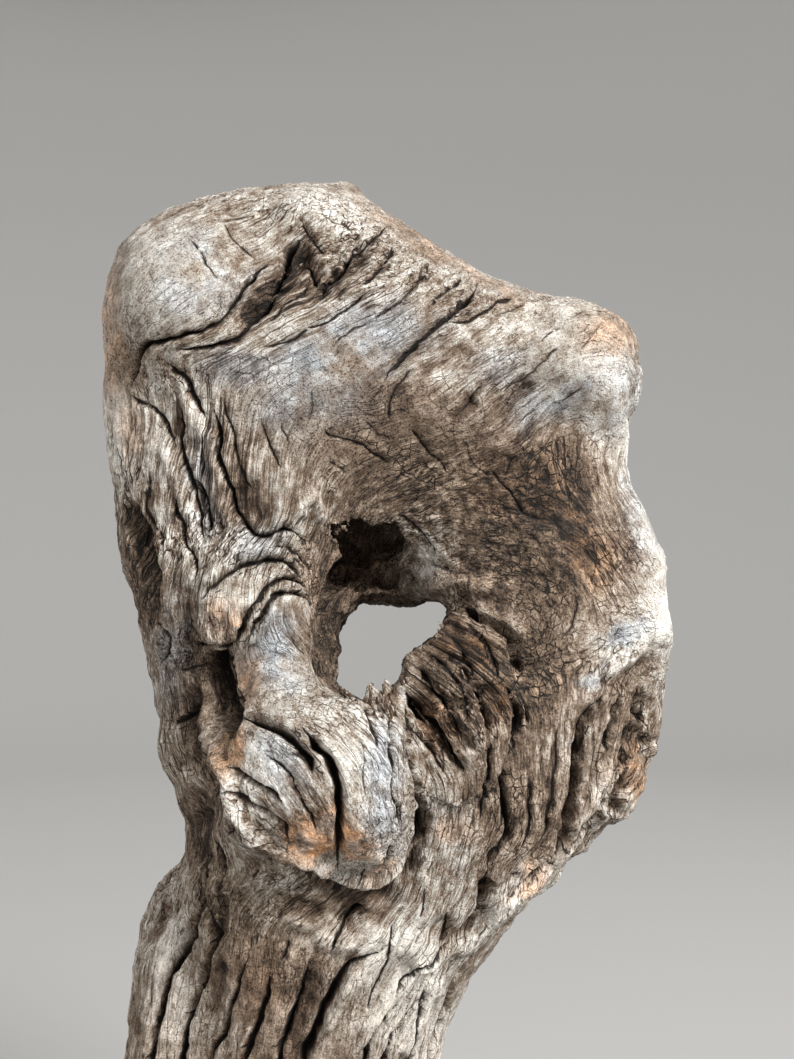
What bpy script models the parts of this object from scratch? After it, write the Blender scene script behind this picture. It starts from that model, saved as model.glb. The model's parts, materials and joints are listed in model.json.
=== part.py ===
"""A piece of driftwood: a thick trunk that stands on its sawn foot and widens at the top
into a broad, weathered head with a hole through it.

The head is a slab of wood with a rounded lobe at its top left, a blunt horn at its top right
and a dish in its front that funnels down to the hole. A knob, the stump of a branch, stands
out in front, low on the left of the hole, and a block of torn fibres stands low on its right.
A second, thinner stem runs down the left of the trunk. All of it is one grown piece, so it is
one object.

Each form is lofted from a few sections, or is a ball that fills out another form. The forms
are joined by a voxel remesh, the dish and the hole are cut, everything is rounded over, and
the foot is sawn flat.

Section tables are in millimetres, measured from the middle of the hole: x to the right,
y to the back and z up. Run it with blender --background --python part.py.
"""

import math

import bmesh
import bpy
from mathutils import Vector

MM = 0.001

# Driving dimensions, in millimetres.
HOLE_ABOVE_FOOT = 280.0
SAW_WIDTH = 400.0
SAW_DEPTH = 80.0

# How the forms are joined and rounded over.
JOIN_VOXEL = 3.0
ROUNDING_PASSES = 15
SHARE_OF_FACES_KEPT = 0.12

# Loft and ball resolution.
RING_POINTS = 36
BALL_SEGMENTS = 32
BALL_RINGS = 20

# How square a section is: 2 is an ellipse.
SQUARENESS = 2.3

# Wood colour and finish.
GREY_WOOD = (0.36, 0.31, 0.26, 1.0)
WOOD_ROUGHNESS = 0.85

# Forms that rise: (z, left, right, front, back) of each section.
TRUNK = [
    (-330, -86, 50, -50, 66),
    (-282, -84, 46, -48, 64),
    (-255, -82, 40, -43, 62),
    (-225, -80, 30, -38, 62),
    (-190, -78, 20, -32, 62),
    (-162, -80, 17, -29, 60),
    (-140, -80, 24, -30, 57),
    (-120, -80, 34, -33, 54),
    (-100, -80, 49, -36, 51),
    (-84, -80, 65, -37, 48),
    (-66, -76, 80, -35, 45),
    (-44, -66, 76, -28, 40),
    (-20, -40, 40, -14, 26),
]
SIDE_STEM = [
    (-330, -104, -40, -26, 50),
    (-280, -103, -42, -24, 48),
    (-230, -104, -46, -20, 46),
    (-190, -105, -50, -17, 44),
    (-162, -105, -52, -15, 40),
    (-130, -100, -56, -12, 36),
    (-110, -98, -60, -8, 30),
    (-92, -92, -64, -2, 22),
    (-80, -82, -68, 4, 14),
]
HEAD = [
    (-124, -50, 6, -12, 34),
    (-104, -70, 36, -28, 42),
    (-86, -78, 62, -35, 46),
    (-70, -79, 82, -38, 47),
    (-48, -85, 97, -39, 46),
    (-22, -90, 101, -39, 44),
    (4, -94, 106, -39, 42),
    (30, -102, 101, -38, 42),
    (56, -105, 93, -37, 42),
    (78, -108, 88, -36, 41),
    (100, -109, 92, -35, 39),
    (115, -109, 91, -33, 36),
    (128, -108, 65, -31, 34),
    (141, -106, 36, -29, 32),
    (154, -99, 10, -25, 28),
    (166, -79, -8, -18, 20),
    (173, -50, -16, -8, 8),
]
TORN_BLOCK = [
    (-66, 22, 52, -28, 0),
    (-46, 15, 48, -41, 0),
    (-24, 7, 45, -46, 0),
    (-4, 4, 40, -46, 0),
    (8, 9, 33, -43, 0),
    (15, 16, 28, -36, -6),
]

# Forms that reach from front to back: (y, left, right, low, high) of each section.
KNOB = [
    (-66, -38, -12, -50, -28),
    (-60, -51, 0, -62, -17),
    (-48, -62, 9, -73, -8),
    (-30, -66, 14, -79, -2),
    (-8, -66, 14, -84, 2),
]
DISH_AND_HOLE = [
    (-90, -70, 150, -24, 150),
    (-44, -50, 94, -17, 110),
    (-38, -40, 84, -15, 96),
    (-33, -34, 72, -14, 82),
    (-27, -30, 56, -13, 68),
    (-20, -26, 34, -14, 52),
    (-12, -23, 20, -15, 40),
    (0, -21, 16, -17, 30),
    (18, -20, 15, -19, 20),
    (34, -20, 16, -21, 11),
    (44, -26, 22, -27, 14),
    (52, -33, 30, -36, 20),
    (70, -50, 48, -56, 36),
]

# Balls that fill out a form: centre and radii.
LOBES = [
    ((-74, 0, 119), (35, 39, 36)),
    ((-32, 0, 145), (26, 28, 27)),
    ((69, -2, 97), (25, 31, 26)),
    ((-60, -6, 22), (36, 34, 40)),
    ((-48, 13, 62), (52, 36, 78)),
    ((46, 12, -10), (44, 34, 66)),
]


def superellipse(low_a, high_a, low_b, high_b):
    """Points round a closed section that fills a rectangle, squarer than an ellipse."""
    points = []
    for step in range(RING_POINTS):
        angle = 2 * math.pi * step / RING_POINTS
        c, s = math.cos(angle), math.sin(angle)
        a = math.copysign(abs(c) ** (2 / SQUARENESS), c)
        b = math.copysign(abs(s) ** (2 / SQUARENESS), s)
        across = (low_a + high_a) / 2 + a * (high_a - low_a) / 2
        along = (low_b + high_b) / 2 + b * (high_b - low_b) / 2
        points.append((across, along))
    return points


def add_loft(bm, sections, place):
    """A closed skin through the sections. place turns (station, a, b) into a point."""
    rings = []
    for station, *extents in sections:
        corners = superellipse(*extents)
        rings.append([bm.verts.new(Vector(place(station, a, b)) * MM) for a, b in corners])
    for lower, upper in zip(rings, rings[1:]):
        for i in range(RING_POINTS):
            j = (i + 1) % RING_POINTS
            bm.faces.new((lower[i], lower[j], upper[j], upper[i]))
    bm.faces.new(reversed(rings[0]))
    bm.faces.new(rings[-1])


def rising(z, x, y):
    return x, y, z


def reaching(y, x, z):
    return x, y, z


def add_ball(bm, centre, radii):
    made = bmesh.ops.create_uvsphere(
        bm, u_segments=BALL_SEGMENTS, v_segments=BALL_RINGS, radius=1.0
    )
    for vert in made["verts"]:
        vert.co = Vector(c + v * r for c, v, r in zip(centre, vert.co, radii)) * MM


def new_object(name, bm):
    """Links a new object that holds the mesh, with its faces pointing out."""
    bmesh.ops.recalc_face_normals(bm, faces=bm.faces)
    mesh = bpy.data.meshes.new(name)
    bm.to_mesh(mesh)
    bm.free()
    obj = bpy.data.objects.new(name, mesh)
    bpy.context.scene.collection.objects.link(obj)
    return obj


def cutter(name, bm):
    obj = new_object(name, bm)
    obj.hide_render = True
    obj.display_type = "WIRE"
    return obj


def wood_forms():
    """Every solid form of the wood, overlapping, before they are joined."""
    bm = bmesh.new()
    for sections in (TRUNK, SIDE_STEM, HEAD, TORN_BLOCK):
        add_loft(bm, sections, rising)
    add_loft(bm, KNOB, reaching)
    for centre, radii in LOBES:
        add_ball(bm, centre, radii)
    return new_object("driftwood", bm)


def hole_cutter():
    """The dish in the front and the hole that it funnels into."""
    bm = bmesh.new()
    add_loft(bm, DISH_AND_HOLE, reaching)
    return cutter("hole_cutter", bm)


def saw_cutter():
    """A block whose top face is the saw cut under the foot."""
    bm = bmesh.new()
    made = bmesh.ops.create_cube(bm, size=1.0)
    middle = -HOLE_ABOVE_FOOT - SAW_DEPTH / 2
    for vert in made["verts"]:
        x, y, z = vert.co
        vert.co = Vector((x * SAW_WIDTH, y * SAW_WIDTH, middle + z * SAW_DEPTH)) * MM
    return cutter("saw_cutter", bm)


def add_remesh(obj, name):
    remesh = obj.modifiers.new(name, "REMESH")
    remesh.mode = "VOXEL"
    remesh.voxel_size = JOIN_VOXEL * MM


def add_cut(obj, name, other):
    cut = obj.modifiers.new(name, "BOOLEAN")
    cut.operation = "DIFFERENCE"
    cut.object = other


def add_finish(obj):
    """Rounds the joined wood over and thins its faces."""
    rounding = obj.modifiers.new("rounding", "SMOOTH")
    rounding.iterations = ROUNDING_PASSES
    thinning = obj.modifiers.new("thinning", "DECIMATE")
    thinning.ratio = SHARE_OF_FACES_KEPT


def grey_wood():
    material = bpy.data.materials.new("grey_wood")
    material.use_nodes = True
    shader = material.node_tree.nodes["Principled BSDF"]
    shader.inputs["Base Color"].default_value = GREY_WOOD
    shader.inputs["Roughness"].default_value = WOOD_ROUGHNESS
    shader.inputs["Metallic"].default_value = 0.0
    return material


def make_real(obj):
    """Replaces the object's mesh with what its modifiers make of it."""
    graph = bpy.context.evaluated_depsgraph_get()
    mesh = bpy.data.meshes.new_from_object(obj.evaluated_get(graph))
    mesh.name = obj.name
    obj.modifiers.clear()
    obj.data = mesh


def stand_on_origin(mesh):
    """Moves the mesh so that the middle of its box is over the origin and its foot is at 0."""
    low = Vector(min(v.co[i] for v in mesh.vertices) for i in range(3))
    high = Vector(max(v.co[i] for v in mesh.vertices) for i in range(3))
    foot = Vector(((low.x + high.x) / 2, (low.y + high.y) / 2, low.z))
    for vert in mesh.vertices:
        vert.co -= foot
    print("middle of the hole, mm:", [round(-c / MM, 2) for c in foot])


def build():
    for obj in list(bpy.data.objects):
        bpy.data.objects.remove(obj)
    wood = wood_forms()
    add_remesh(wood, "join the forms")
    add_cut(wood, "dish and hole", hole_cutter())
    add_remesh(wood, "even skin")
    add_finish(wood)
    add_cut(wood, "sawn foot", saw_cutter())
    make_real(wood)
    stand_on_origin(wood.data)
    wood.data.materials.clear()
    wood.data.materials.append(grey_wood())
    wood.data.shade_smooth()


build()
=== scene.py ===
"""The looks of a weathered piece of driftwood.

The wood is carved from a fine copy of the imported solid: its hole is opened to its ragged
outline, its cracks, furrows, folds and ridges are pressed into the surface, and torn splinters
are set along the broken edge. Places on the wood are in millimetres from the middle of the
hole, x to the right and z up, thrown onto the front from the eye of someone who stands before it.
"""

import json
import math

import bmesh
import bpy
import numpy as np
from bpy.props import FloatProperty, FloatVectorProperty, IntProperty, PointerProperty
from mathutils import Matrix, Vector
from mathutils.bvhtree import BVHTree

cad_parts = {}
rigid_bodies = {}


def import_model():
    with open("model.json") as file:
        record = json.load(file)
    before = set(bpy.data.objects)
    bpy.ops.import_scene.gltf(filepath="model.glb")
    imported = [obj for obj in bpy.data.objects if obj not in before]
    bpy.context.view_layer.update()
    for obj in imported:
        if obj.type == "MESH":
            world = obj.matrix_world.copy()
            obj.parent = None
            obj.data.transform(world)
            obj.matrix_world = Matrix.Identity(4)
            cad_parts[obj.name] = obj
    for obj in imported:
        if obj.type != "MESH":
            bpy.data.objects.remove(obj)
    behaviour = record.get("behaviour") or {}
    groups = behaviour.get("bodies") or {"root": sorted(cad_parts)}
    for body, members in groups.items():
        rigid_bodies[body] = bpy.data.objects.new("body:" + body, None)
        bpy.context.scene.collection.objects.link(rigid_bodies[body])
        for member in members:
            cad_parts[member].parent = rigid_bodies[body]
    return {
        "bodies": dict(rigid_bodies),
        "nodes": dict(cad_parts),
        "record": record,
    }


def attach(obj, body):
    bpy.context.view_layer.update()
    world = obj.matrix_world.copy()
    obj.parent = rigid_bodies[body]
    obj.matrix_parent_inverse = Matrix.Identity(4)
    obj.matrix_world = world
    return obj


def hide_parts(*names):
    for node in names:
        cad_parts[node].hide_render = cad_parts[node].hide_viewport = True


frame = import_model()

bl_info = {
    "name": "Driftwood",
    "version": (1, 0, 0),
    "blender": (4, 5, 0),
    "location": "3D View > Sidebar > Driftwood",
    "description": "Carves, splinters and finishes a weathered piece of driftwood",
    "category": "Object",
}

MM = 0.001
NODE = "driftwood"
BODY = "root"

kept = set(frame["nodes"].values()) | set(frame["bodies"].values())
for startup_object in set(bpy.data.objects) - kept:
    bpy.data.objects.remove(startup_object)
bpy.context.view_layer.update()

# The middle of the hole, in metres. Its height comes from the opening that the record states,
# whose middle is a little above it.
OPENING_LOW, OPENING_HIGH = frame["record"]["physics"]["openings"][0]["box_m"]
OPENING_RISE = 0.0005
HOLE = Vector((0.0017, 0.0012, (OPENING_LOW[2] + OPENING_HIGH[2]) / 2 - OPENING_RISE))

# The eye that the marks are thrown from, in millimetres from the middle of the hole.
EYE = (1.5, -551.0, 43.3)

# The edge of the torn block along the hole's lower right, and the ragged outline of the way
# through the hole, which follows it.
TORN_EDGE = (
    (20.5, 14), (19.5, 10), (17, 5), (12, 1), (8, -1.5), (4.5, -5), (4, -9), (2, -13.5),
    (-2, -17), (-7, -17), (-11, -20.5),
)
HOLE_OUTLINE = (
    (-12, 15.5), (-5, 15.5), (3, 14), (10, 14.5), (12, 16.5), (17, 16.5), *TORN_EDGE,
    (-14, -19), (-20, -15), (-21, -12), (-19.5, -8), (-20.5, -5), (-19, -1), (-20, 4),
    (-18, 9), (-15, 12),
)
# The mouth that the way through opens from, one point for each point of the outline above.
MOUTH_OUTLINE = (
    (-17, 31), (-6, 35), (5, 31), (11, 23), (13, 19), (17, 18), *TORN_EDGE,
    (-15, -20), (-24, -17), (-28, -13), (-30, -8), (-31, -4), (-31.5, 0), (-32, 6),
    (-31.5, 14), (-27, 24),
)
# The torn block that stands in front of the hole's lower right.
BLOCK_OUTLINE = (
    (20, 14), (17, 5), (12, 1), (8, -1.5), (4.5, -5), (4, -9), (2, -14), (-3, -26), (6, -52),
    (24, -62), (44, -48), (46, -14), (44, 3), (36, 9),
)

# Two broken stubs that stand at the hole's lower edge.
STUB_OUTLINES = (
    ((-12, -27), (-11.6, -21), (-10.8, -17), (-9.6, -14.5), (-8.6, -12.6), (-7.4, -12.9),
     (-6.6, -15.2), (-5.6, -17), (-5, -21), (-5, -28)),
    ((-4.4, -27), (-4.2, -20), (-3.6, -15.6), (-3.4, -12.9), (-1.6, -12.5), (-0.9, -15.5),
     (-0.1, -18), (0.6, -22), (1, -28)),
)

# Cracks: half width, depth, then the points that they run through.
CRACKS = (
    # Round the lobe at the top left, and the channel beside it.
    (1.5, 7, (-47, 143), (-54, 136), (-59, 128), (-63, 122), (-70, 118), (-78, 116), (-86, 114),
     (-94, 112), (-96, 104), (-99, 95)),
    (1.6, 7, (-33, 154), (-38, 150), (-41, 143), (-46, 134), (-47, 129), (-51, 124), (-55, 118),
     (-60, 113.5), (-71, 111), (-80, 110.5)),
    (1.0, 3, (-46, 121), (-41, 128), (-35, 133), (-32, 137)),
    (2.2, 7, (-39, 150), (-42, 141), (-47, 132)),
    (1.8, 7, (-14, 150), (-17, 148), (-21, 142), (-26, 138), (-27, 133)),
    (1.2, 4, (-33, 147), (-31, 142), (-29, 137)),
    (0.9, 3, (-35, 161), (-33, 157), (-30, 153), (-25, 149)),
    (1.0, 4, (-2.5, 157), (-6, 154), (-10, 151.5), (-15, 150)),
    (0.7, 2, (-76, 150), (-72, 144), (-69, 139), (-64, 135)),
    (0.7, 2, (-63, 158), (-60, 152), (-55, 147), (-50, 144)),
    (0.5, 1, (-91, 142), (-89, 137), (-88, 133)),
    (0.5, 1, (-66, 158), (-58, 160), (-52, 162)),
    # Long cracks over the brow.
    (0.9, 4, (-50, 111.5), (-42, 113), (-34, 117.4), (-25, 121.6), (-18, 125.6), (-13, 130),
     (-7, 134)),
    (1.2, 4, (0.5, 150.5), (-2, 146), (-4, 143), (-8, 138.5), (-12, 135)),
    (1.5, 6, (32, 135), (28, 129.6), (21, 124), (17, 121), (13.5, 117.5), (10, 115), (8, 112),
     (5, 109.5), (2, 106), (-1.5, 102.5), (-3.5, 98.5)),
    (0.6, 2, (-3.5, 98.5), (-6.5, 94), (-9.5, 90)),
    (1.0, 3, (26.5, 139), (24.5, 136), (22, 134), (17, 130.5), (14, 127)),
    (0.9, 3, (45, 130.5), (40, 129), (35, 126), (31, 124), (27, 122), (20, 121)),
    (0.7, 2, (11, 145), (9.5, 137), (6.5, 133), (1, 128), (-4, 125), (-9, 121.7), (-14, 119.5),
     (-19, 115.3), (-24, 110.5), (-28, 108)),
    (0.6, 2, (13.5, 144), (12, 139), (8, 136)),
    (0.9, 3, (6.5, 103), (3.5, 99), (-0.3, 94), (-1.2, 87.5), (-0.5, 83)),
    (0.7, 2, (62, 110.5), (57, 107), (53, 103), (49, 100), (44, 96.5)),
    (0.6, 2, (72, 122), (66, 119.5), (60, 117), (54, 113)),
    (0.5, 1.5, (50, 128.5), (43, 125), (38, 123)),
    (0.5, 1, (77, 116), (73, 112), (70, 109)),
    (0.7, 2, (34.5, 98), (31, 94), (27, 89), (23.5, 85), (22.5, 82)),
    (0.6, 1.5, (71, 97), (66, 93), (63, 91)),
    # Down the left flank.
    (1.1, 4, (-99.5, 93.5), (-94, 90.5), (-90, 88.5), (-86.5, 85), (-84, 80), (-82, 75)),
    (1.1, 4, (-84, 105), (-81.5, 101.5), (-77.5, 99.5), (-75, 94.5), (-72.5, 88.5), (-70, 85)),
    (1.3, 5, (-67, 88), (-65.5, 83), (-65.5, 77), (-66.5, 71.5), (-64, 66), (-62, 60),
     (-60.5, 54.5), (-59.5, 51), (-56, 46.5), (-52.5, 42.5), (-49, 40.8), (-44.5, 42.4),
     (-40, 43.3), (-36.5, 42.6), (-33, 39.5), (-29, 38)),
    (1.2, 4, (-80, 90), (-78.5, 84), (-79.5, 77), (-79.5, 73), (-78.5, 68.5), (-76.5, 61.5),
     (-75.3, 56), (-73.6, 52), (-73, 46.5), (-71, 39)),
    (1.2, 4, (-75, 62), (-72, 57), (-70.4, 52.7), (-69.5, 47.3), (-69, 42)),
    (0.8, 3, (-64, 93), (-62, 86.5), (-60, 79.5), (-59.5, 74), (-58, 68), (-55.3, 61.6),
     (-53.5, 57)),
    (0.8, 3, (-49.5, 84), (-47, 77.7), (-45, 73), (-43.7, 69), (-41.5, 65.5)),
    (0.8, 3, (-102.5, 71), (-101, 62), (-99.8, 55)),
    (0.6, 2, (-101, 78), (-98.6, 66), (-95.9, 57)),
    (0.9, 3, (-90, 65), (-91.4, 57), (-92, 51), (-90, 45.5), (-87.4, 41), (-86.5, 34)),
    (1.1, 4, (-82, 57), (-80.7, 50), (-79, 44.6), (-78.5, 39.5), (-75.8, 35), (-74, 30.5),
     (-75.3, 23)),
    (0.7, 2, (-42, 83), (-40.5, 79), (-39, 75)),
    (0.6, 2, (-30.3, 96), (-30.3, 88), (-31.7, 83)),
    (0.8, 3, (-26.2, 82), (-25.2, 78.8), (-20, 78.2), (-15.5, 76.4), (-11, 74.6), (-7.5, 72),
     (-4, 69.5), (0, 66.5)),
    (0.6, 2, (-24.5, 69), (-21, 67), (-17, 63)),
    (0.6, 2, (-10.5, 84.5), (-6.6, 80.4), (-3, 78.2), (0, 75.5)),
    (0.7, 3, (6.5, 81), (10, 77), (13, 72.8), (16.5, 69.6), (19, 67), (21, 63.5)),
    # Round the dish.
    (0.8, 3, (36.5, 66), (40, 61.2), (43.5, 57), (46.2, 52.7), (49, 49), (53.3, 47.3),
     (58, 46.8)),
    (0.6, 2.5, (41, 62.5), (42.5, 66), (45, 69.6), (47, 72.5)),
    (0.5, 1.5, (23.5, 80), (27, 75), (29, 69), (33.5, 65), (37, 60), (38, 54)),
    (0.5, 1.5, (50, 84), (47, 78), (50, 72), (56, 68), (60, 62), (61, 56)),
    (0.5, 1.5, (14, 62), (20, 58), (27, 57), (33, 53), (36, 46), (43, 42), (46, 36)),
    (0.5, 1.5, (66, 74), (68, 66), (66, 59), (70, 52), (73, 46)),
    (0.5, 1.5, (34, 40), (41, 36), (47, 29), (55, 26), (62, 20)),
    (0.5, 1.5, (-16, 92), (-12, 88), (-5, 86), (2, 88), (9, 85)),
    (0.7, 1.5, (68, 20), (69, 14.6), (68, 10), (66, 5.6), (63, 3)),
    (0.9, 4, (1.4, 49), (6, 46), (9.5, 43), (12, 38.5), (14.8, 34), (14.8, 30.5)),
    (0.6, 2, (13, 30.4), (17.4, 28.6), (23, 27.7), (30, 26)),
    (0.5, 1.5, (56, 50), (62, 44), (68, 41), (74, 40)),
    (0.5, 1.5, (30, 56), (38, 55), (47, 43), (53, 40), (59, 36)),
    (1.9, 7, (26.5, 14.2), (31, 11.5), (35.6, 7.8), (40, 6), (43.2, 3), (44.2, -1.5),
     (45.5, -6), (48, -9)),
    # Folds on the left of the hole.
    (1.5, 5, (-71, 17.5), (-66, 23), (-61.5, 26.8), (-57, 29.5), (-52.5, 31.2), (-47, 31.8),
     (-41, 31.3), (-35.6, 27.7), (-32, 22.3)),
    (0.9, 3, (-45, 37), (-40, 37), (-36.5, 34.8), (-33, 31.2), (-30, 26.5)),
    (1.6, 6, (-59, 1.5), (-56.6, 6.4), (-55.7, 10), (-52.6, 15), (-49, 20.3), (-44.5, 23.8),
     (-38.3, 25), (-32, 21.2)),
    (1.5, 6, (-54, 5), (-50, 12.3), (-46.4, 15.8), (-43.7, 18.8), (-39.2, 19.6), (-34.7, 18.2),
     (-31.5, 14)),
    (1.4, 5, (-74, -2), (-67, -0.4), (-62.5, -0.8), (-59.5, 2)),
    (1.7, 7, (-60, -3), (-61, -7.7), (-60.6, -13), (-58.8, -17.5), (-57.8, -22), (-59.7, -26.4),
     (-61.5, -31)),
    (1.4, 5, (-83, -30), (-77.6, -26.4), (-73, -22.5)),
    (0.8, 3, (-91, 8), (-86, 5), (-84, -1), (-88, -8)),
    (0.8, 2, (-81, -10), (-75, -9), (-70, -8)),
    (0.6, 2, (-38, 3), (-36, -1), (-33, -3)),
    (0.5, 1.5, (-44, 2), (-42, -3), (-38, -6)),
    (0.8, 3, (-30, -5), (-27, -9.5), (-24, -15), (-20, -20)),
    # On the knob.
    (3.0, 10, (-56, -27), (-50, -28), (-44.5, -30.8), (-39.2, -34.4), (-34.7, -38.8),
     (-31.6, -43.4), (-30, -48)),
    (3.2, 12, (-33, -31.5), (-29, -37), (-25.4, -41.6), (-22.7, -47), (-21, -52), (-19.6, -59),
     (-19.1, -65.3), (-20, -71), (-20.4, -78), (-21, -82)),
    (1.5, 5, (-61.5, -45.6), (-57, -49), (-51, -52.8), (-45.5, -55.5), (-41.5, -59.5)),
    (1.4, 4, (-60, -54.6), (-52.6, -60), (-47, -63.5), (-42, -67), (-39, -74)),
    (1.0, 3, (-48, -40), (-43.7, -43.8), (-39.2, -48.3), (-36.6, -53.7), (-33, -60.8),
     (-30, -67), (-27.5, -71.5)),
    (0.8, 2, (-39, -40), (-33, -44), (-30, -49.5)),
    (0.6, 2, (-10.8, -36), (-10.7, -47), (-10.2, -58)),
    (1.1, 4, (-0.4, -29), (0, -43), (0.5, -50), (0, -56.4), (1.4, -62.7), (0.5, -69)),
    (1.0, 3, (-3, -72), (-4, -79)),
    (0.8, 2, (-10, -83), (-13, -89)),
    (2.0, 8, (6, -31), (7.2, -40), (8.6, -49), (10.8, -58), (12.2, -65), (10.2, -72),
     (6, -80)),
    # In the torn block.
    (2.6, 10, (5, -18.5), (8.6, -23), (13, -27.4), (17.4, -33.7), (21, -40.8), (26, -46.5)),
    (1.9, 8, (30, -17), (32.7, -22), (35.3, -27.4), (36.2, -32.5)),
    (2.2, 8, (42.5, -16), (44, -19), (47, -25.6), (46.6, -33), (45.7, -40)),
    (1.4, 5, (50, -22), (51, -29)),
    (1.2, 5, (10, -9), (17.4, -19.5), (22.8, -27.4), (25.4, -36)),
    (1.0, 4, (15.7, -4), (22.8, -12.3), (26.4, -17), (28, -26)),
    (0.9, 4, (22, 3), (27, -4), (31, -12)),
    (1.0, 4, (5, -22), (6.5, -30), (14, -38), (19, -49)),
    (0.8, 3, (-11, -23), (-7.5, -31), (-4.6, -39)),
    (0.9, 4, (-2.5, -21), (-1, -29), (0, -36)),
    (1.0, 4, (33, 5), (37, -3), (39, -12)),
    (0.8, 3, (27, 9), (33, 2), (36, -6)),
    # Down the right flank.
    (1.9, 6, (77, -22), (74.5, -26), (71.5, -31), (70.2, -38), (69.4, -48), (68.5, -54),
     (66.5, -61), (65.2, -69), (62.5, -75.5), (58, -80), (50, -87), (42, -94)),
    (1.5, 5, (86.5, -19), (84, -26), (82, -33), (81, -40)),
    (2.4, 7, (93.5, -17), (93.2, -24), (95, -29.5)),
    (1.6, 6, (94.5, -33), (95, -38), (93, -43)),
    (2.0, 6, (86, -50), (83.7, -57), (81.5, -64)),
    (1.7, 6, (79, -57), (75.7, -65), (71.5, -71.5), (65, -77)),
    (1.0, 3, (88, -30), (87, -38), (87, -46)),
    (0.8, 3, (62, -30), (61, -42), (60, -55), (58, -68), (54, -76)),
    (0.8, 3, (52, -50), (51.5, -60), (51, -70), (48, -78)),
    (0.6, 2, (76, -32), (76, -42), (75, -52)),
    (0.6, 2, (56, -36), (55.5, -46), (55, -52)),
    (1.3, 5, (44, -40), (42, -50), (42, -60), (43.2, -69), (41, -75), (37.2, -80), (36, -88)),
    (1.2, 4, (36, -88), (35.3, -95), (32.5, -102), (28, -108)),
    # Round the neck.
    (1.2, 4, (-67, -74), (-64.5, -78.5), (-63.5, -86)),
    (1.0, 3, (-60, -68.5), (-62.5, -72)),
    (1.4, 6, (-22.7, -115), (-21, -109.3), (-17.4, -104), (-13.8, -100.5), (-9.4, -101)),
    (0.8, 2, (-53, -87.5), (-51, -84)),
    (0.8, 2, (-37.5, -92), (-33, -90), (-30, -91)),
    (1.0, 3, (-38.8, -110), (-40, -114), (-42, -118)),
    (0.9, 3, (-0.2, -104), (-0.8, -110), (-2.2, -119), (-5.8, -126.4), (-8.5, -133.5),
     (-9.4, -139)),
    (1.0, 3, (12.1, -91.5), (11.7, -98), (10, -102.5)),
    (1.2, 4, (32.5, -66), (33.8, -57.3), (36.5, -46), (36.5, -36)),
    (0.9, 3, (20, -100), (20.5, -108), (17, -114)),
    # Down the trunk, and on to the foot.
    (2.4, 8, (-71.3, -78), (-71.3, -88.5), (-72.2, -98), (-75, -105), (-77.6, -112),
     (-82, -120), (-85, -126.4), (-86.5, -133.5), (-89, -141.5), (-90.5, -149.6), (-93, -165),
     (-95, -196), (-90, -232), (-93, -270), (-91, -330)),
    (2.0, 7, (-69.5, -100), (-68, -109.4), (-68.2, -114.7), (-71.3, -122), (-73.6, -130),
     (-75.8, -137), (-77.6, -144), (-79.4, -154), (-81, -172), (-77, -190), (-79, -206)),
    (1.4, 6, (-53.5, -112), (-54.4, -117.4), (-57.5, -123), (-58, -128), (-60.6, -133.5),
     (-62.4, -140.6), (-64.2, -146), (-68.7, -154), (-70, -178), (-65, -205), (-68, -240),
     (-62, -275), (-64, -330)),
    (2.6, 9, (-46.3, -125), (-48, -132.6), (-50.8, -140.6), (-53.5, -147.8), (-56.1, -154),
     (-58, -168), (-54, -190), (-55, -218), (-51, -236)),
    (1.9, 8, (-31.2, -118), (-33.8, -126.4), (-35.6, -133.5), (-38.7, -140.6), (-41, -147),
     (-43.2, -154), (-45, -176), (-41, -204), (-44, -232), (-40, -262), (-43, -330)),
    (3.4, 11, (-6.7, -115.7), (-11.2, -117.4), (-15.6, -120), (-19.2, -124.5), (-21.9, -130),
     (-25.4, -136), (-27.5, -142.4), (-30.8, -150.4), (-33.5, -157), (-32, -182), (-28, -210),
     (-30, -246), (-24, -278), (-26, -330)),
    (1.5, 6, (1, -135), (-4, -140.6), (-7.6, -146), (-10.2, -154), (-14, -172), (-11, -196),
     (-15, -214)),
    (1.4, 5, (9, -133), (5, -138.8), (2.3, -144), (-1.3, -149), (-4, -168), (1, -196),
     (-3, -226), (4, -262), (2, -330)),
    (1.2, 4, (22, -112), (16.5, -115.6), (10.3, -120), (5, -124.6), (0.5, -130.5)),
    (1.5, 5, (34.4, -110), (29, -118.3), (24.6, -125.5), (22, -133.5), (19.2, -140),
     (16.5, -148), (14, -156), (13, -176), (19, -206), (18, -238), (27, -268), (30, -330)),
    (1.2, 4, (12, -127), (10.3, -135.3), (8, -146), (6, -156), (9, -178), (6, -192)),
    (1.0, 3, (-84, -214), (-82, -240), (-86, -268), (-84, -330)),
    (1.1, 4, (-18, -226), (-15, -248), (-18, -272), (-14, -330)),
    (0.8, 3, (-74, -232), (-76, -250), (-73, -268)),
    (0.9, 3, (31, -192), (35, -222), (31, -242), (38, -262)),
    (0.7, 2, (-51, -252), (-53, -268), (-50, -300)),
    (0.8, 3, (10, -236), (13, -256), (9, -274)),
)

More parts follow.
